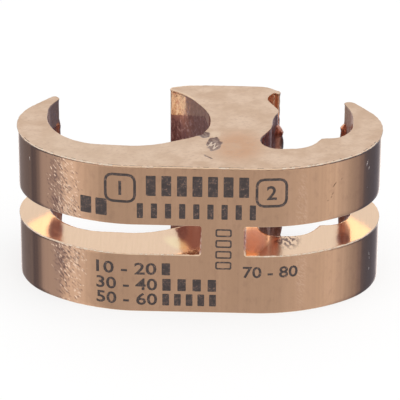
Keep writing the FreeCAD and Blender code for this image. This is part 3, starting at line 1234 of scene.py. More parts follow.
def skin_finish():
    """Drawn copper that has darkened a little, with streaks up the bar, rubbed bands and painted
    shade at its left end.
    """
    material, tree, shader, place = new_material("drawn_copper")
    flat, run = front_place(tree, place)
    streaks = grain(tree, flat, (0.35, 60, 9), 3.0)
    broad = grain(tree, flat, (2.5, 90, 9))
    cloud = grain(tree, flat, (4.0, 5.0, 9), 4.0)
    mottle = grain(tree, flat, (0.9, 1.6, 9), 3.0)
    clots = grain(tree, flat, (1.1, 1.5, 9), 3.0)
    # Painted shade: the front is darker towards its left end
    start, full, fades, end = LEFT_END_SHADE
    left_end_shade = times(tree, ramp(tree, run, start, full), ramp(tree, run, end, fades))
    first, second = strokes_of(tree, flat)
    thick = ramp(tree, clots, 0.34, 0.60, 0.25, 1.0)
    thin = ramp(tree, clots, 0.66, 0.40, 0.35, 1.0)
    dense = times(tree, spot(tree, flat, *SPECKLED, soft=0.9), thick)
    sparse = times(tree, spot(tree, flat, *SPARSE, soft=0.9), thin)
    rubbed = largest(tree, [dense, sparse])
    dark = chosen(tree, first, (dense, sparse), DARK_STROKES)
    light = chosen(tree, second, (dense, sparse), LIGHT_STROKES)
    faint = times(tree, spot(tree, flat, *FAINT_BAND), ramp(tree, first, 0.5, 0.9, 0.0, 0.4))
    cuts = largest(tree, [spot(tree, flat, *cut, soft=0.4) for cut in SCRATCHES])
    scuffs = largest(tree, [spot(tree, flat, *scuff, soft=0.7) for scuff in SCUFFS])
    scuffs = times(tree, scuffs, ramp(tree, first, 0.30, 0.50))
    tone = layered(
        tree,
        SKIN_TONES["brown"],
        (ramp(tree, broad, 0.3, 0.7), SKIN_TONES["light brown"]),
        (ramp(tree, streaks, 0.25, 0.75, 0.0, 0.4), SKIN_TONES["streak"]),
        (ramp(tree, cloud, 0.5, 0.8, 0.0, 0.35), SKIN_TONES["cloud"]),
        (ramp(tree, mottle, 0.5, 0.75, 0.0, 0.5), SKIN_TONES["mottle"]),
        (left_end_shade, SKIN_TONES["left_end_shade"]),
        (times(tree, sparse, 0.35), SKIN_TONES["rubbed pale"]),
        (times(tree, dense, 0.45), SKIN_TONES["rubbed dark"]),
        (times(tree, light, 0.85), SKIN_TONES["light stroke"]),
        (times(tree, dark, 0.85), SKIN_TONES["dark stroke"]),
        (faint, SKIN_TONES["faint band"]),
        (times(tree, cuts, 0.85), SKIN_TONES["cut"]),
        (scuffs, SKIN_TONES["scuff"]),
    )
    rough = [ramp(tree, streaks, 0.2, 0.8, 0.15, 0.24), times(tree, rubbed, 0.34)]
    rough.append(times(tree, scuffs, 0.6))
    height = times(tree, largest(tree, [rubbed, scuffs]), first)
    normal = bumped(tree, height, 0.012, under=bumped(tree, streaks, 0.003))
    feed(tree, shader, base_color=tone, roughness=largest(tree, rough), normal=normal)
    return material


print("strokes", STROKE_SIZE[0], "mm long and", STROKE_SIZE[1], "mm wide")

# %% [markdown]
# ## Finish of the pockets
#
# Inside the pockets the bar is pitted. Below a line about 4.5 mm under the top the tone
# is a darker brick red, painted shade, and at the head's back edge that line leans. The
# small pocket's walls are painted shade up to the top, and a spot under the head's gold
# patch is darker still, painted shade too. The gold patch is a painted reflection, the
# finger notch is painted lighter as a painted highlight, and the right arm's tip is rubbed
# bright. Each patch is a soft ellipse in space, so it follows the wall by itself.

# %% Pocket walls
POCKET_TONES = {
    "copper": (0.78, 0.41, 0.26),
    "bright copper": (0.90, 0.50, 0.33),
    # brick tones: painted shade below the line
    "brick": (0.42, 0.185, 0.135),
    "light brick": (0.56, 0.27, 0.20),
    # painted shade under the head's gold patch
    "dark brick": (0.33, 0.16, 0.145),
    "fleck": (0.80, 0.50, 0.42),
    "pock": (0.16, 0.07, 0.07),
    # orange and gold: tones of the head's painted reflection, the notch's painted highlight and the
    # rubbed tip
    "orange": (0.74, 0.40, 0.25),
    "gold": (0.96, 0.63, 0.38),
    # painted highlight in the finger notch
    "notch highlight": (0.95, 0.66, 0.48),
    "grey": (0.26, 0.22, 0.19),
}
# Patches in space: centre and half lengths. The gold patch is a painted reflection, the
# brick and nest patches are painted shade, and the notch is a painted highlight
GOLD_REFLECTION = ((-4.6, 12.6, 23.8), (3.2, 3.4, 4.5))
BRICK_SHADE = ((-4.2, 12.3, 15.5), (3.6, 3.6, 6.2))
NOTCH_HIGHLIGHT = ((12.2, 11.2, 23.8), (1.6, 2.0, 2.9))
NEST_SHADE = ((12.0, 1.6, 22.5), (3.9, 7.0, 6))
RUBBED_TIP = ((23.2, 9.6, 24.6), (2.0, 3.6, 3.2))
GREY_LUMP = ((13.0, 5.4, 19.5), (1.2, 1.6, 2.8))
LEANING_EDGE = ((-2.5, 7.0, 20.0), (5.0, 8.0, 12.0))
# The painted shade's top line: its height, how uneven it is, and how it leans behind a given y
DARK_BELOW = (21.75, 21.5)
DARK_UNEVEN = 1.4
LEAN = 0.43
LEAN_FROM = 12.7


def shade_below_the_line(tree, place, pits):
    """1 on the painted shade below the uneven line and in the nest, 0 above it."""
    parts = add_node(tree, "ShaderNodeSeparateXYZ", {0: place}).outputs
    behind = maths(tree, "SUBTRACT", parts["Y"], LEAN_FROM)
    lean = times(tree, times(tree, behind, LEAN), spot(tree, place, *LEANING_EDGE, soft=0.3))
    height = maths(tree, "ADD", parts["Z"], lean)
    uneven = maths(tree, "ADD", height, times(tree, pits, DARK_UNEVEN))
    nest = spot(tree, place, *NEST_SHADE, soft=0.2)
    return largest(tree, [ramp(tree, uneven, *DARK_BELOW), nest])


def pocket_finish():
    """Pitted copper in the pockets, with painted shade, a painted reflection, a painted highlight
    and a rubbed tip.
    """
    material, tree, shader, place = new_material("pitted_copper")
    pits = grain(tree, place, (0.40, 0.40, 0.55), 3.0)
    flecks = grain(tree, place, (0.42, 0.42, 0.60))
    # Painted shade: darker below an uneven line, in the nest, and in a spot under the gold patch
    low = shade_below_the_line(tree, place, pits)
    brick = times(tree, spot(tree, place, *BRICK_SHADE, soft=0.3), low)
    pocks = times(tree, brick, ramp(tree, flecks, 0.42, 0.36, 0.0, 0.6))
    above = maths(tree, "SUBTRACT", 1.0, low)
    # Painted reflection on the head, painted highlight in the notch, real wear on the tip
    gold = times(tree, spot(tree, place, *GOLD_REFLECTION, soft=0.3), above)
    notch = spot(tree, place, *NOTCH_HIGHLIGHT, soft=0.4)
    tip = times(tree, spot(tree, place, *RUBBED_TIP, soft=0.5), 0.8)
    rubbed = largest(tree, [gold, notch, tip])
    share = ramp(tree, pits, 0.3, 0.7)
    high_tone = mixed(tree, share, POCKET_TONES["copper"], POCKET_TONES["bright copper"])
    shade_tone = mixed(tree, share, POCKET_TONES["brick"], POCKET_TONES["light brick"])
    share = ramp(tree, pits, 0.35, 0.6)
    gold_tone = mixed(tree, share, POCKET_TONES["orange"], POCKET_TONES["gold"])
    tone = layered(
        tree,
        high_tone,
        (low, shade_tone),
        (times(tree, brick, 0.88), POCKET_TONES["dark brick"]),
        (ramp(tree, flecks, 0.58, 0.66, 0.0, 0.65), POCKET_TONES["fleck"]),
        (pocks, POCKET_TONES["pock"]),
        (rubbed, gold_tone),
        (times(tree, notch, 0.7), POCKET_TONES["notch highlight"]),
        (times(tree, spot(tree, place, *GREY_LUMP), 0.75), POCKET_TONES["grey"]),
    )
    parts = ((rubbed, 0.22), (notch, 0.40), (low, 0.32), (pits, 0.34))
    rough = largest(tree, [times(tree, where, most) for where, most in parts])
    normal = bumped(tree, pits, 0.025, 0.7)
    feed(tree, shader, base_color=tone, roughness=rough, normal=normal)
    return material


print("pockets: darker below", DARK_BELOW[1] - DARK_UNEVEN / 2, "mm")

# %% [markdown]
# ## Finish of the sawn faces
#
# The saw left both cut faces pale and fairly dull, with a soft cloudiness and fine short
# marks. There is an orange tint to the right of the stem and a pale patch on it. In the
# torn places the metal is dark, partly oxide and partly painted shade, except on the crest
# of the ridge. Depth and ridge ride on the mesh as attributes, so colour and shape can't
# drift apart.

# %% Sawn faces
SAWN_TONES = {
    "tan": (0.70, 0.485, 0.335),
    "pale": (0.85, 0.635, 0.475),
    "web": (0.82, 0.63, 0.47),
    "orange": (0.71, 0.43, 0.27),
    "pale patch": (0.88, 0.68, 0.50),
    "saw mark": (0.64, 0.43, 0.31),
    "hair line": (0.50, 0.33, 0.24),
    # torn tones: oxide, darkened further as painted shade
    "torn dark": (0.19, 0.12, 0.11),
    "torn light": (0.35, 0.245, 0.21),
    "crest": (0.80, 0.64, 0.52),
}
ORANGE_TINT = ((6.2, -6.8, 25.4), (5.6, 7.4, 3))
PALE_WEB = ((-13, -8, 25.4), (15, 9, 3))
PALE_PATCH = ((2.5, -2.9, 25.4), (1.1, 1.5, 3))
SAW_SLANT = (0, 0, 0.5)


def sawn_finish():
    """Pale sawn copper, with an orange tint by the stem and dark torn places, partly painted shade.
    """
    material, tree, shader, place = new_material("sawn_copper")
    cloud = grain(tree, place, (2.6, 2.2, 3.0), 4.0)
    fine = grain(tree, place, (0.5, 0.25, 1.0), 3.0)
    hair = grain(tree, place, (1.6, 0.12, 1.0), 2.0, SAW_SLANT)
    facets = grain(tree, place, (0.5, 1.3, 1.0), 1.0, SAW_SLANT)
    tint = spot(tree, place, *ORANGE_TINT, soft=0.7)
    torn = ramp(tree, carried(tree, "damage"), 0.01, 0.04)
    # The torn places: oxide, darkened further as painted shade
    torn_oxide_and_shade = layered(
        tree,
        SAWN_TONES["torn dark"],
        (ramp(tree, facets, 0.42, 0.58), SAWN_TONES["torn light"]),
        (ramp(tree, carried(tree, "ridge"), 0.55, 0.9), SAWN_TONES["crest"]),
    )
    tone = layered(
        tree,
        SAWN_TONES["tan"],
        (ramp(tree, cloud, 0.3, 0.7), SAWN_TONES["pale"]),
        (times(tree, spot(tree, place, *PALE_WEB), 0.35), SAWN_TONES["web"]),
        (times(tree, tint, ramp(tree, cloud, 0.25, 0.6, 0.5, 1.0)), SAWN_TONES["orange"]),
        (times(tree, spot(tree, place, *PALE_PATCH), 0.7), SAWN_TONES["pale patch"]),
        (ramp(tree, fine, 0.50, 0.72, 0.0, 0.5), SAWN_TONES["saw mark"]),
        (ramp(tree, hair, 0.64, 0.72, 0.0, 0.5), SAWN_TONES["hair line"]),
        (times(tree, torn, 0.9), torn_oxide_and_shade),
    )
    rough = largest(tree, [ramp(tree, cloud, 0.3, 0.7, 0.29, 0.37), times(tree, torn, 0.3)])
    normal = bumped(tree, fine, 0.012, 0.6)
    feed(tree, shader, base_color=tone, roughness=rough, normal=normal)
    return material


print("sawn faces: orange tint round", ORANGE_TINT[0][:2])

# %% [markdown]
# ## Finish of the milled slots
#
# The cutter left the slots the brightest of all, so their floors mirror the walls above
# them. On the floors, brown patches at both ends and by the stem are painted dark
# reflections, an orange stretch is a painted reflection and a pale patch by the stem is a
# painted highlight. A few dark smudges to the right of the column are dirt. Left of the
# column the mirror image is tipped, as if the floor rose a little there. A bump of one
# broad mound does that, and no face has to move.

# %% Milled slots
MILLED_TONES = {
    "bright": (0.885, 0.635, 0.445),
    "brighter": (0.91, 0.66, 0.468),
    "cloud": (0.84, 0.60, 0.45),
    # painted reflection: the orange stretch right of the column
    "orange": (0.56, 0.30, 0.28),
    # painted dark reflections at both ends of the floors
    "dark_reflection": (0.42, 0.27, 0.23),
    # painted dark reflection by the stem
    "brown": (0.50, 0.285, 0.225),
    "smudge": (0.17, 0.105, 0.095),
    # painted highlight: the pale patch by the stem
    "glow": (1.0, 0.81, 0.52),
}
# Patches on the floors: centre, half lengths and turn. The smudges are dirt; the others
# are painted reflections and a painted highlight
END_DARK_REFLECTIONS = (
    ((-22.3, -6.9, 10.2), (1.7, 4.0, 3)),
    ((22.6, -7.8, 10.2), (1.3, 2.6, 3)),
)
STEM_REFLECTION = ((-0.3, -8.7, 10.2), (3.3, 6.8, 3), 0.35)
SMUDGES = ((13.7, -8.3, 10.2), (2.8, 4.2, 3), 0.2)
SLOT_HIGHLIGHT = ((-3.1, -10.4, 10.2), (3.6, 1.9, 3), -0.9)
ORANGE_REFLECTION = ((8.8, -9.2, 10.2), (2.8, 5.8, 3))
MOUND = ((-1.4, -11.4, 10.2), (5.0, 10.0, 1.5))
MOUND_HEIGHT = 0.26


def milled_finish():
    """Bright milled copper in the slots and on the rims, with painted reflections, a painted
    highlight and smudges on the floors.
    """
    material, tree, shader, place = new_material("milled_copper")
    lines = grain(tree, place, (0.25, 5.0, 6.0))
    cloud = grain(tree, place, (1.2, 1.2, 2.0), 3.0)
    blots = grain(tree, place, (0.55, 0.9, 2.0))
    # Painted reflections and a painted highlight on the floors; only the smudges are dirt
    orange = spot(tree, place, *ORANGE_REFLECTION)
    glow = spot(tree, place, *SLOT_HIGHLIGHT, soft=0.7)
    dark_reflections = largest(tree, [spot(tree, place, *dark_reflection, soft=0.5) for dark_reflection in END_DARK_REFLECTIONS])
    dark_reflections = times(tree, dark_reflections, ramp(tree, cloud, 0.3, 0.5, 0.55, 0.85))
    edge = maths(tree, "ADD", spot(tree, place, *STEM_REFLECTION, soft=0.6), cloud)
    stem_reflection = ramp(tree, edge, 0.86, 0.98)
    smudges = times(tree, spot(tree, place, *SMUDGES, soft=0.7), ramp(tree, blots, 0.46, 0.54))
    tone = layered(
        tree,
        MILLED_TONES["bright"],
        (ramp(tree, lines, 0.3, 0.7), MILLED_TONES["brighter"]),
        (ramp(tree, cloud, 0.5, 0.8, 0.0, 0.3), MILLED_TONES["cloud"]),
        (times(tree, orange, 0.85), MILLED_TONES["orange"]),
        (dark_reflections, MILLED_TONES["dark_reflection"]),
        (times(tree, stem_reflection, 0.85), MILLED_TONES["brown"]),
        (times(tree, smudges, 0.95), MILLED_TONES["smudge"]),
        (times(tree, glow, 0.9), MILLED_TONES["glow"]),
    )
    rough = [ramp(tree, lines, 0.3, 0.7, 0.105, 0.145)]
    rough += [times(tree, orange, 0.24), times(tree, glow, 0.17)]
    mound = bumped(tree, spot(tree, place, *MOUND, soft=1.0), MOUND_HEIGHT)
    normal = bumped(tree, cloud, 0.02, 0.4, under=mound)
    feed(tree, shader, base_color=tone, roughness=largest(tree, rough), normal=normal)
    return material


print("slots: mound of", MOUND_HEIGHT, "mm under the left floor's shine")

# %% [markdown]
# ## Finish of the seam and of the torn rims
#
# Two narrow finishes draw the edges. Dirt and oxide sit in the seam behind the lip, dark
# and dull, and the seam is darker still as painted shade under the lip. Where the rims
# turn round the shoulders the metal was torn and is brighter than the faces on both sides,
# its pale tone partly a painted highlight. The burr threads wear that finish too.

# %% Seam and torn metal
# The seam: dirt and oxide, darker still as painted shade
SEAM_TONES = ((0.10, 0.065, 0.05), (0.36, 0.24, 0.18))
# Torn copper: its pale tones are partly a painted highlight
TORN_TONES_AND_HIGHLIGHT = ((0.94, 0.68, 0.50), (1.0, 0.86, 0.70))


def seam_dirt_and_shade_finish():
    """Dirt and oxide in the narrow seam behind the lip, darker still as painted shade under it."""
    material, tree, shader, place = new_material("seam_dirt_and_shade", metallic=0.6)
    specks = grain(tree, place, (0.3, 0.3, 0.3), 3.0)
    tone = mixed(tree, ramp(tree, specks, 0.35, 0.6), *SEAM_TONES)
    rough = ramp(tree, specks, 0.3, 0.7, 0.6, 0.4)
    feed(tree, shader, base_color=tone, roughness=rough)
    return material


def burr_and_highlight_finish():
    """Freshly torn copper, brighter than the faces on both sides of it, its pale tone partly a
    painted highlight.
    """
    material, tree, shader, place = new_material("burr_copper_and_highlight")
    sparkle = grain(tree, place, (0.35, 0.35, 0.35))
    tone = mixed(tree, ramp(tree, sparkle, 0.35, 0.6), *TORN_TONES_AND_HIGHLIGHT)
    rough = ramp(tree, sparkle, 0.3, 0.7, 0.50, 0.25)
    feed(tree, shader, base_color=tone, roughness=rough)
    return material


finishes = [
    skin_finish(),
    pocket_finish(),
    sawn_finish(),
    milled_finish(),
    seam_dirt_and_shade_finish(),
    burr_and_highlight_finish(),
]
print("finishes:", [finish.name for finish in finishes])

# %% [markdown]
# ## The finished body
#
# The shell becomes one mesh in metres, and each face takes the finish of its kind.

# %% Make the body
SHARP_ANGLE = 38
WORN_DOWN_TO = 0.8


def make_body(shell):
    """Turn the shell into the object that stands for the solid."""
    mesh = bpy.data.meshes.new("connector")
    mesh.from_pydata([(x * MM, y * MM, z * MM) for x, y, z in shell.points], [], shell.faces)
    for finish in finishes:
        mesh.materials.append(finish)
    mesh.polygons.foreach_set("material_index", shell.kinds)
    mesh.polygons.foreach_set("use_smooth", [True] * len(mesh.polygons))
    mesh.set_sharp_from_angle(angle=math.radians(SHARP_ANGLE))
    runs = mesh.attributes.new("front_run", "FLOAT", "POINT")
    runs.data.foreach_set("value", shell.runs)
    for name, measure in (("damage", damage), ("ridge", ridge)):
        values = [measure(x, y) if z > TOP - WORN_DOWN_TO else 0 for x, y, z in shell.points]
        mesh.attributes.new(name, "FLOAT", "POINT").data.foreach_set("value", values)
    body = bpy.data.objects.new("connector", mesh)
    scene.collection.objects.link(body)
    return body


def open_edges(mesh):
    """How many edges don't join exactly two faces."""
    test = bmesh.new()
    test.from_mesh(mesh)
    count = sum(1 for edge in test.edges if len(edge.link_faces) != 2)
    volume = test.calc_volume(signed=True)
    test.free()
    return count, volume


connector = make_body(shell)
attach(connector, BODY)
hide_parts(BODY_NODE)
loose, volume = open_edges(connector.data)
triangles = sum(len(p.vertices) - 2 for p in connector.data.polygons)
print("connector:", triangles, "triangles,", loose, "open edges,", round(volume * 1e6, 2), "cm3")

# %% [markdown]
# ## Places on the front
#
# The burr and the marks both lie on the bar's front, so both need to know where the wall
# is at a distance along the front and at a height. The walls' own shape answers that.

# %% Place on the front, by run and height
FRONT_STATIONS = list(range(left_tip, COUNT)) + list(range(right_tip + 1))
FRONT_RUNS = FRONT_RUN[FRONT_STATIONS]


def on_front(run, z, lift=0.0, lip=0.0):
    """The point in millimetres at a distance along the front and a height, lift proud of it."""
    k = min(max(int(np.searchsorted(FRONT_RUNS, run)) - 1, 0), len(FRONT_RUNS) - 2)
    share = (run - FRONT_RUNS[k]) / (FRONT_RUNS[k + 1] - FRONT_RUNS[k])
    i, j = FRONT_STATIONS[k], FRONT_STATIONS[k + 1]
    here, there = Vector(wall_place(i, z, lip)), Vector(wall_place(j, z, lip))
    outward = Vector(normals[i]).lerp(Vector(normals[j]), share).normalized()
    x, y = here.lerp(there, share) + outward * lift
    return x, y, z


print("front runs from", round(FRONT_RUNS[0], 1), "to", round(FRONT_RUNS[-1], 1), "mm")

# %% [markdown]
# ## The burr along the rims
#
# Saw and cutter left a thin thread of metal along the front rims; its bright finish is
# partly a painted highlight. It follows a path and swells and thins unevenly, which is what
# Geometry Nodes are for: the path is resampled, pushed about by noise and given a round
# section of uneven radius. The noise is a fixed pattern in space, so the thread is the same
# each time.

# %% Node tree for the burr
# The part of the noise's range over which the thread swells from thinnest to thickest
SWELLING = (0.40, 0.62)
THREAD_SIDES = 6


def burr_tree(material):
    """A tree that turns a chain of edges into an uneven thread."""
    tree = bpy.data.node_groups.new("burr", "GeometryNodeTree")
    face = tree.interface
    face.new_socket("Geometry", in_out="INPUT", socket_type="NodeSocketGeometry")
    for name in ("Spacing", "Thinnest", "Thickest", "Wander", "Grain"):
        face.new_socket(name, in_out="INPUT", socket_type="NodeSocketFloat")
    face.new_socket("Geometry", in_out="OUTPUT", socket_type="NodeSocketGeometry")
    given = add_node(tree, "NodeGroupInput").outputs
    path = add_node(tree, "GeometryNodeMeshToCurve", {"Mesh": given["Geometry"]})
    even = add_node(
        tree,
        "GeometryNodeResampleCurve",
        {"Curve": path.outputs["Curve"], "Length": given["Spacing"]},
        mode="LENGTH",
    )
    pattern = add_node(tree, "ShaderNodeTexNoise", {"Scale": given["Grain"], "Detail": 2.0})
    grey = {0: pattern.outputs["Color"], 1: (0.5, 0.5, 0.5)}
    either_way = add_node(tree, "ShaderNodeVectorMath", grey, operation="SUBTRACT")
    wander = {0: either_way.outputs[0], "Scale": given["Wander"]}
    push = add_node(tree, "ShaderNodeVectorMath", wander, operation="SCALE")
    shifted = {"Geometry": even.outputs["Curve"], "Offset": push.outputs[0]}
    moved = add_node(tree, "GeometryNodeSetPosition", shifted)
    low, high = SWELLING
    swell = add_node(
        tree,
        "ShaderNodeMapRange",
        {
            "Value": pattern.outputs["Fac"],
            "From Min": low,
            "From Max": high,
            "To Min": given["Thinnest"],
            "To Max": given["Thickest"],
        },
    )
    circle = {"Resolution": THREAD_SIDES, "Radius": 1.0}
    section = add_node(tree, "GeometryNodeCurvePrimitiveCircle", circle)
    thread = add_node(
        tree,
        "GeometryNodeCurveToMesh",
        {
            "Curve": moved.outputs["Geometry"],
            "Profile Curve": section.outputs["Curve"],
            "Scale": swell.outputs["Result"],
            "Fill Caps": True,
        },
    )
    whole = add_node(tree, "GeometryNodeRealizeInstances", {"Geometry": thread.outputs["Mesh"]})
    coloured = add_node(
        tree,
        "GeometryNodeSetMaterial",
        {"Geometry": whole.outputs["Geometry"], "Material": material},
    )
    result = add_node(tree, "NodeGroupOutput")
    tree.links.new(coloured.outputs["Geometry"], result.inputs["Geometry"])
    return tree


def made_by(tree, start, values, name):
    """Run a node tree on a starting mesh and give the plain object that it makes."""
    source = bpy.data.objects.new(name, start)
    scene.collection.objects.link(source)
    step = source.modifiers.new("shape", "NODES")
    step.node_group = tree
    for item in tree.interface.items_tree:
        if item.in_out == "INPUT" and item.name in values:
            step[item.identifier] = values[item.name]
    seen = source.evaluated_get(bpy.context.evaluated_depsgraph_get())
    mesh = bpy.data.meshes.new_from_object(seen)
    source.modifiers.remove(step)
    source.data = mesh
    return source


print("burr tree ready")

# %% [markdown]
# ## Two burrs
#
# One thread lies on the top rim and one on the rim of the slots' floors. Each is there
# only along some stretches of the front, and stands a little prouder on the shoulders.

# %% Make the burrs
BURR_SPACING = 0.13
BURR_GRAIN = 1.1
PATH_STEP = 0.2
TOP_BURR = {"Thinnest": 0.055, "Thickest": 0.118, "Wander": 0.04}
FLOOR_BURR = {"Thinnest": 0.040, "Thickest": 0.140, "Wander": 0.06}
# Stretches of the front, by distance from its middle, that carry a thread
TOP_RUNS = ((-31.5, -13.5), (-8.2, -6.0), (3.4, 5.0), (15.5, 31.0))
FLOOR_RUNS = ((-24.5, -13.0), (-9.0, -3.5), (8.8, 27.2))
# From where to where the shoulders run, either way from the middle
SHOULDER = (12.6, 28.5)


def pushed_out(run):
    """1 on the front's curved shoulders, where the burr stands prouder, 0 elsewhere."""
    return smooth((abs(run) - SHOULDER[0]) / 2) * smooth((SHOULDER[1] - abs(run)) / 3)


def rim_path(runs, z, inward, lip, push):
    """A mesh of edge chains along stretches of the front."""
    points, edges = [], []
    for start, end in runs:
        steps = round((end - start) / PATH_STEP)
        for k in range(steps + 1):
            run = start + (end - start) * k / steps
            x, y, _ = on_front(run, z, push * pushed_out(run) - inward, lip)
            if k:
                edges.append((len(points) - 1, len(points)))
            points.append((x * MM, y * MM, z * MM))
    path = bpy.data.meshes.new("rim_path")
    path.from_pydata(points, edges, [])
    return path


def make_burr(name, runs, z, inward, lip, push, sizes):
    """A burr thread along one rim."""
    values = {key: size * MM for key, size in sizes.items()}
    values["Spacing"] = BURR_SPACING * MM
    values["Grain"] = 1 / (BURR_GRAIN * MM)
    burr = made_by(threads, rim_path(runs, z, inward, lip, push), values, name)
    burr.data.polygons.foreach_set("use_smooth", [True] * len(burr.data.polygons))
    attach(burr, BODY)
    return burr


threads = burr_tree(finishes[TORN])
top_burr = make_burr("top_burr", TOP_RUNS, TOP - 0.115, 0.085, 1.0, 0.07, TOP_BURR)
floor_burr = make_burr("slot_burr", FLOOR_RUNS, SLOT_FLOOR, 0.03, FLOOR_LIP_SHARE, 0.02, FLOOR_BURR)
for burr in (top_burr, floor_burr):
    print(burr.name, len(burr.data.polygons), "faces,", open_edges(burr.data)[0], "open edges")

# %% [markdown]
# ## The marks on the front
#
# Such a connector carries ink marks on its front. Here they are plain: bars, framed
# digits, small frames and a few numbers. The ink is dull and nearly black, and worn
# through to the copper in specks.

# %% Ink
INK_TONES = {
    "black": (0.040, 0.027, 0.025),
    "dark grey": (0.062, 0.043, 0.040),
    "copper": (0.45, 0.27, 0.19),
}


def ink_finish():
    """Dull dark ink, worn through to the copper in small specks."""
    material, tree, shader, place = new_material("worn_ink")
    specks = grain(tree, place, (0.16, 0.16, 0.16), 3.0)
    patches = grain(tree, place, (1.1, 1.1, 0.8))
    patchy = ramp(tree, patches, 0.42, 0.62, 0.15, 0.85)
    worn = times(tree, ramp(tree, specks, 0.56, 0.66), patchy)
    tone = layered(
        tree,
        INK_TONES["black"],
        (ramp(tree, patches, 0.3, 0.7), INK_TONES["dark grey"]),
        (worn, INK_TONES["copper"]),
    )
    rough = ramp(tree, specks, 0.3, 0.7, 0.62, 0.45)
    feed(tree, shader, base_color=tone, roughness=rough, metallic=times(tree, worn, 0.9))
    feed(tree, shader, normal=bumped(tree, specks, 0.01, 0.5))
    return material


INK = ink_finish()
print("ink:", INK.name)

# %% [markdown]
# ## Flat shapes for the marks
#
# Each mark starts as a flat slab between heights -1 and 1, so that its two sides can be
# told apart when it is bent onto the wall. Frames are slabs with a hole, and bars are
# slabs in a row.

# %% Slabs and bars
CORNER_STEPS = 3
BAR_CORNER = 0.12


def rounded_box(centre, size, corner):
    """Outline of a box with rounded corners, anticlockwise."""
    points = []
    for turn, (a, b) in enumerate(((1, 1), (-1, 1), (-1, -1), (1, -1))):
        cx = centre[0] + a * (size[0] / 2 - corner)
        cy = centre[1] + b * (size[1] / 2 - corner)
        for k in range(CORNER_STEPS + 1):
            angle = (turn + k / CORNER_STEPS) * math.pi / 2
            points.append((cx + corner * math.cos(angle), cy + corner * math.sin(angle)))
    return points


def slab(flat, outline_points, hole=None):
    """A closed slab from z -1 to 1, with a hole if one is given."""
    rims = [outline_points] + ([hole] if hole else [])
    layers = []
    for z in (-1, 1):
        layers.append([[flat.verts.new((x, y, z)) for x, y in rim] for rim in rims])
    count = len(outline_points)
    for side, rim in enumerate(rims):
        low, high = layers[0][side], layers[1][side]
        for k in range(count):
            wall = (low[k], low[(k + 1) % count], high[(k + 1) % count], high[k])
            flat.faces.new(wall if side == 0 else wall[::-1])
    for layer, up in zip(layers, (False, True)):
        if hole:
            for k in range(count):
                after = (k + 1) % count
                cap = (layer[0][k], layer[0][after], layer[1][after], layer[1][k])
                flat.faces.new(cap if up else cap[::-1])
        else:
            flat.faces.new(layer[0] if up else layer[0][::-1])


def bars(flat, start, end, low, high, count, width):
    """A row of upright bars between two ends."""
    pitch = (end - start - width) / max(1, count - 1)
    for k in range(count):
        centre = (start + width / 2 + k * pitch, (low + high) / 2)
        slab(flat, rounded_box(centre, (width, high - low), BAR_CORNER))


print("slabs with", 4 * (CORNER_STEPS + 1), "points to a box")

# %% [markdown]
# ## Digits
#
# Digits come from Blender's own plain font, a little bolder. They are made a mesh first,
# because a mesh can be measured, and then scaled to the height and width that they need.

# %% Digits
FONT_SIZE = 3.0
BOLD = 0.05
DIGIT_HEIGHT = 2.4


def digits(flat, text, start, low, height, end=None):
    """Plain digits as slabs from start to end, or centred on start if no end is given."""
    letters = bpy.data.curves.new("digits", "FONT")
    letters.body = text
    letters.extrude = 1
    letters.offset = BOLD
    letters.resolution_u = 3
    letters.size = FONT_SIZE
    holder = bpy.data.objects.new("digits", letters)
    scene.collection.objects.link(holder)
    seen = holder.evaluated_get(bpy.context.evaluated_depsgraph_get())
    mesh = bpy.data.meshes.new_from_object(seen)
    bpy.data.objects.remove(holder)
    corners = np.array([v.co for v in mesh.vertices])
    lowest, highest = corners.min(axis=0), corners.max(axis=0)
    tall = height / (highest[1] - lowest[1])
    wide = tall if end is None else (end - start) / (highest[0] - lowest[0])
    if end is None:
        start -= (highest[0] - lowest[0]) * wide / 2
    for v in mesh.vertices:
        x = start + (v.co.x - lowest[0]) * wide
        v.co = (x, low + (v.co.y - lowest[1]) * tall, 1 if v.co.z > 0 else -1)
    flat.from_mesh(mesh)
    bpy.data.meshes.remove(mesh)


print("digits", DIGIT_HEIGHT, "mm high in the frames")

# %% [markdown]
# ## The layout
#
# The marks are laid out on the unrolled front, with x along it and y up. Rows of bars,
# two framed digits, four small frames and pairs of round numbers are enough to give the
# front its look, and they mean nothing.

# %% Lay out the marks
# Rows of bars: from x, to x, from y, to y, how many, how wide
BAR_ROWS = (
    (-7.7, 8.0, 20.3, 23.75, 7, 1.5),
    (-9.1, 9.1, 16.45, 19.0, 9, 0.95),
    (-18.1, -13.8, 16.55, 19.4, 2, 1.8),
    (-5.3, -4.0, 6.5, 8.6, 1, 1.3),
    (-5.2, 3.1, 3.75, 5.85, 4, 1.3),
    (-5.2, 3.1, 1.15, 3.2, 5, 1.05),
)
# Numbers: text, from x, from y, height, to x
NUMBERS = (
    ("10 - 20", -15.6, 6.5, 2.1, -6.1),
    ("30 - 40", -15.6, 3.75, 2.1, -6.0),
    ("50 - 60", -15.6, 1.15, 2.1, -6.0),
    ("70 - 80", 7.2, 6.3, 2.0, 15.8),
)
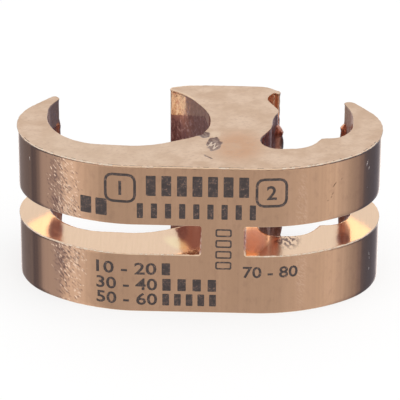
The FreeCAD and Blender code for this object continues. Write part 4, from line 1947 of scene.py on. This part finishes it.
# Outer and inner size of a frame, and the radius of its corners
LARGE_FRAME = (((5.0, 5.0), 1.3), ((4.15, 4.15), 0.9))
SMALL_FRAME = (((2.5, 1.35), 0.3), ((2.0, 0.85), 0.15))
FRAMED_DIGITS = (((-11.7, 21.5), "1"), ((11.5, 21.15), "2"))
SMALL_FRAMES = [(4.2, 8.4 + 1.9 * k) for k in range(4)]


def frame_mark(flat, centre, sizes):
    """A rounded frame round a centre."""
    slab(flat, *(rounded_box(centre, size, corner) for size, corner in sizes))


sheet = bmesh.new()
for row in BAR_ROWS:
    bars(sheet, *row)
for centre, mark in FRAMED_DIGITS:
    frame_mark(sheet, centre, LARGE_FRAME)
    digits(sheet, mark, centre[0], centre[1] - DIGIT_HEIGHT / 2, DIGIT_HEIGHT)
for centre in SMALL_FRAMES:
    frame_mark(sheet, centre, SMALL_FRAME)
for number in NUMBERS:
    digits(sheet, *number)
bmesh.ops.remove_doubles(sheet, verts=sheet.verts, dist=1e-5)
print("flat marks:", len(sheet.faces), "faces")

# %% [markdown]
# ## Ink on the wall
#
# The flat marks are cut into narrow strips, so that they can follow the curve of the
# front, and then every point goes to its place on the wall. The outer side stands a few
# hundredths of a millimetre proud of it, as a film of ink does, and the inner side is
# sunk into the metal.

# %% Bend the marks onto the wall
INK_CUT = 0.4
INK_PROUD = 0.025
INK_SUNK = 0.03
reach = max(abs(v.co.x) for v in sheet.verts)
cuts = int(reach / INK_CUT)
for k in range(-cuts, cuts + 1):
    everything = sheet.verts[:] + sheet.edges[:] + sheet.faces[:]
    bmesh.ops.bisect_plane(
        sheet, geom=everything, plane_co=(k * INK_CUT, 0, 0), plane_no=(1, 0, 0), dist=1e-5
    )
bmesh.ops.triangulate(sheet, faces=sheet.faces)
for v in sheet.verts:
    lift = INK_PROUD if v.co.z > 0 else -INK_SUNK
    v.co = Vector(on_front(v.co.x, v.co.y, lift)) * MM
marks_mesh = bpy.data.meshes.new("front_marks")
sheet.to_mesh(marks_mesh)
sheet.free()
marks_mesh.materials.append(INK)
marks = bpy.data.objects.new("front_marks", marks_mesh)
scene.collection.objects.link(marks)
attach(marks, BODY)
loose, volume = open_edges(marks_mesh)
print("marks:", len(marks_mesh.polygons), "triangles,", loose, "open edges")
print("ink stands", INK_PROUD, "mm proud and fills", round(volume * 1e9, 2), "mm3")
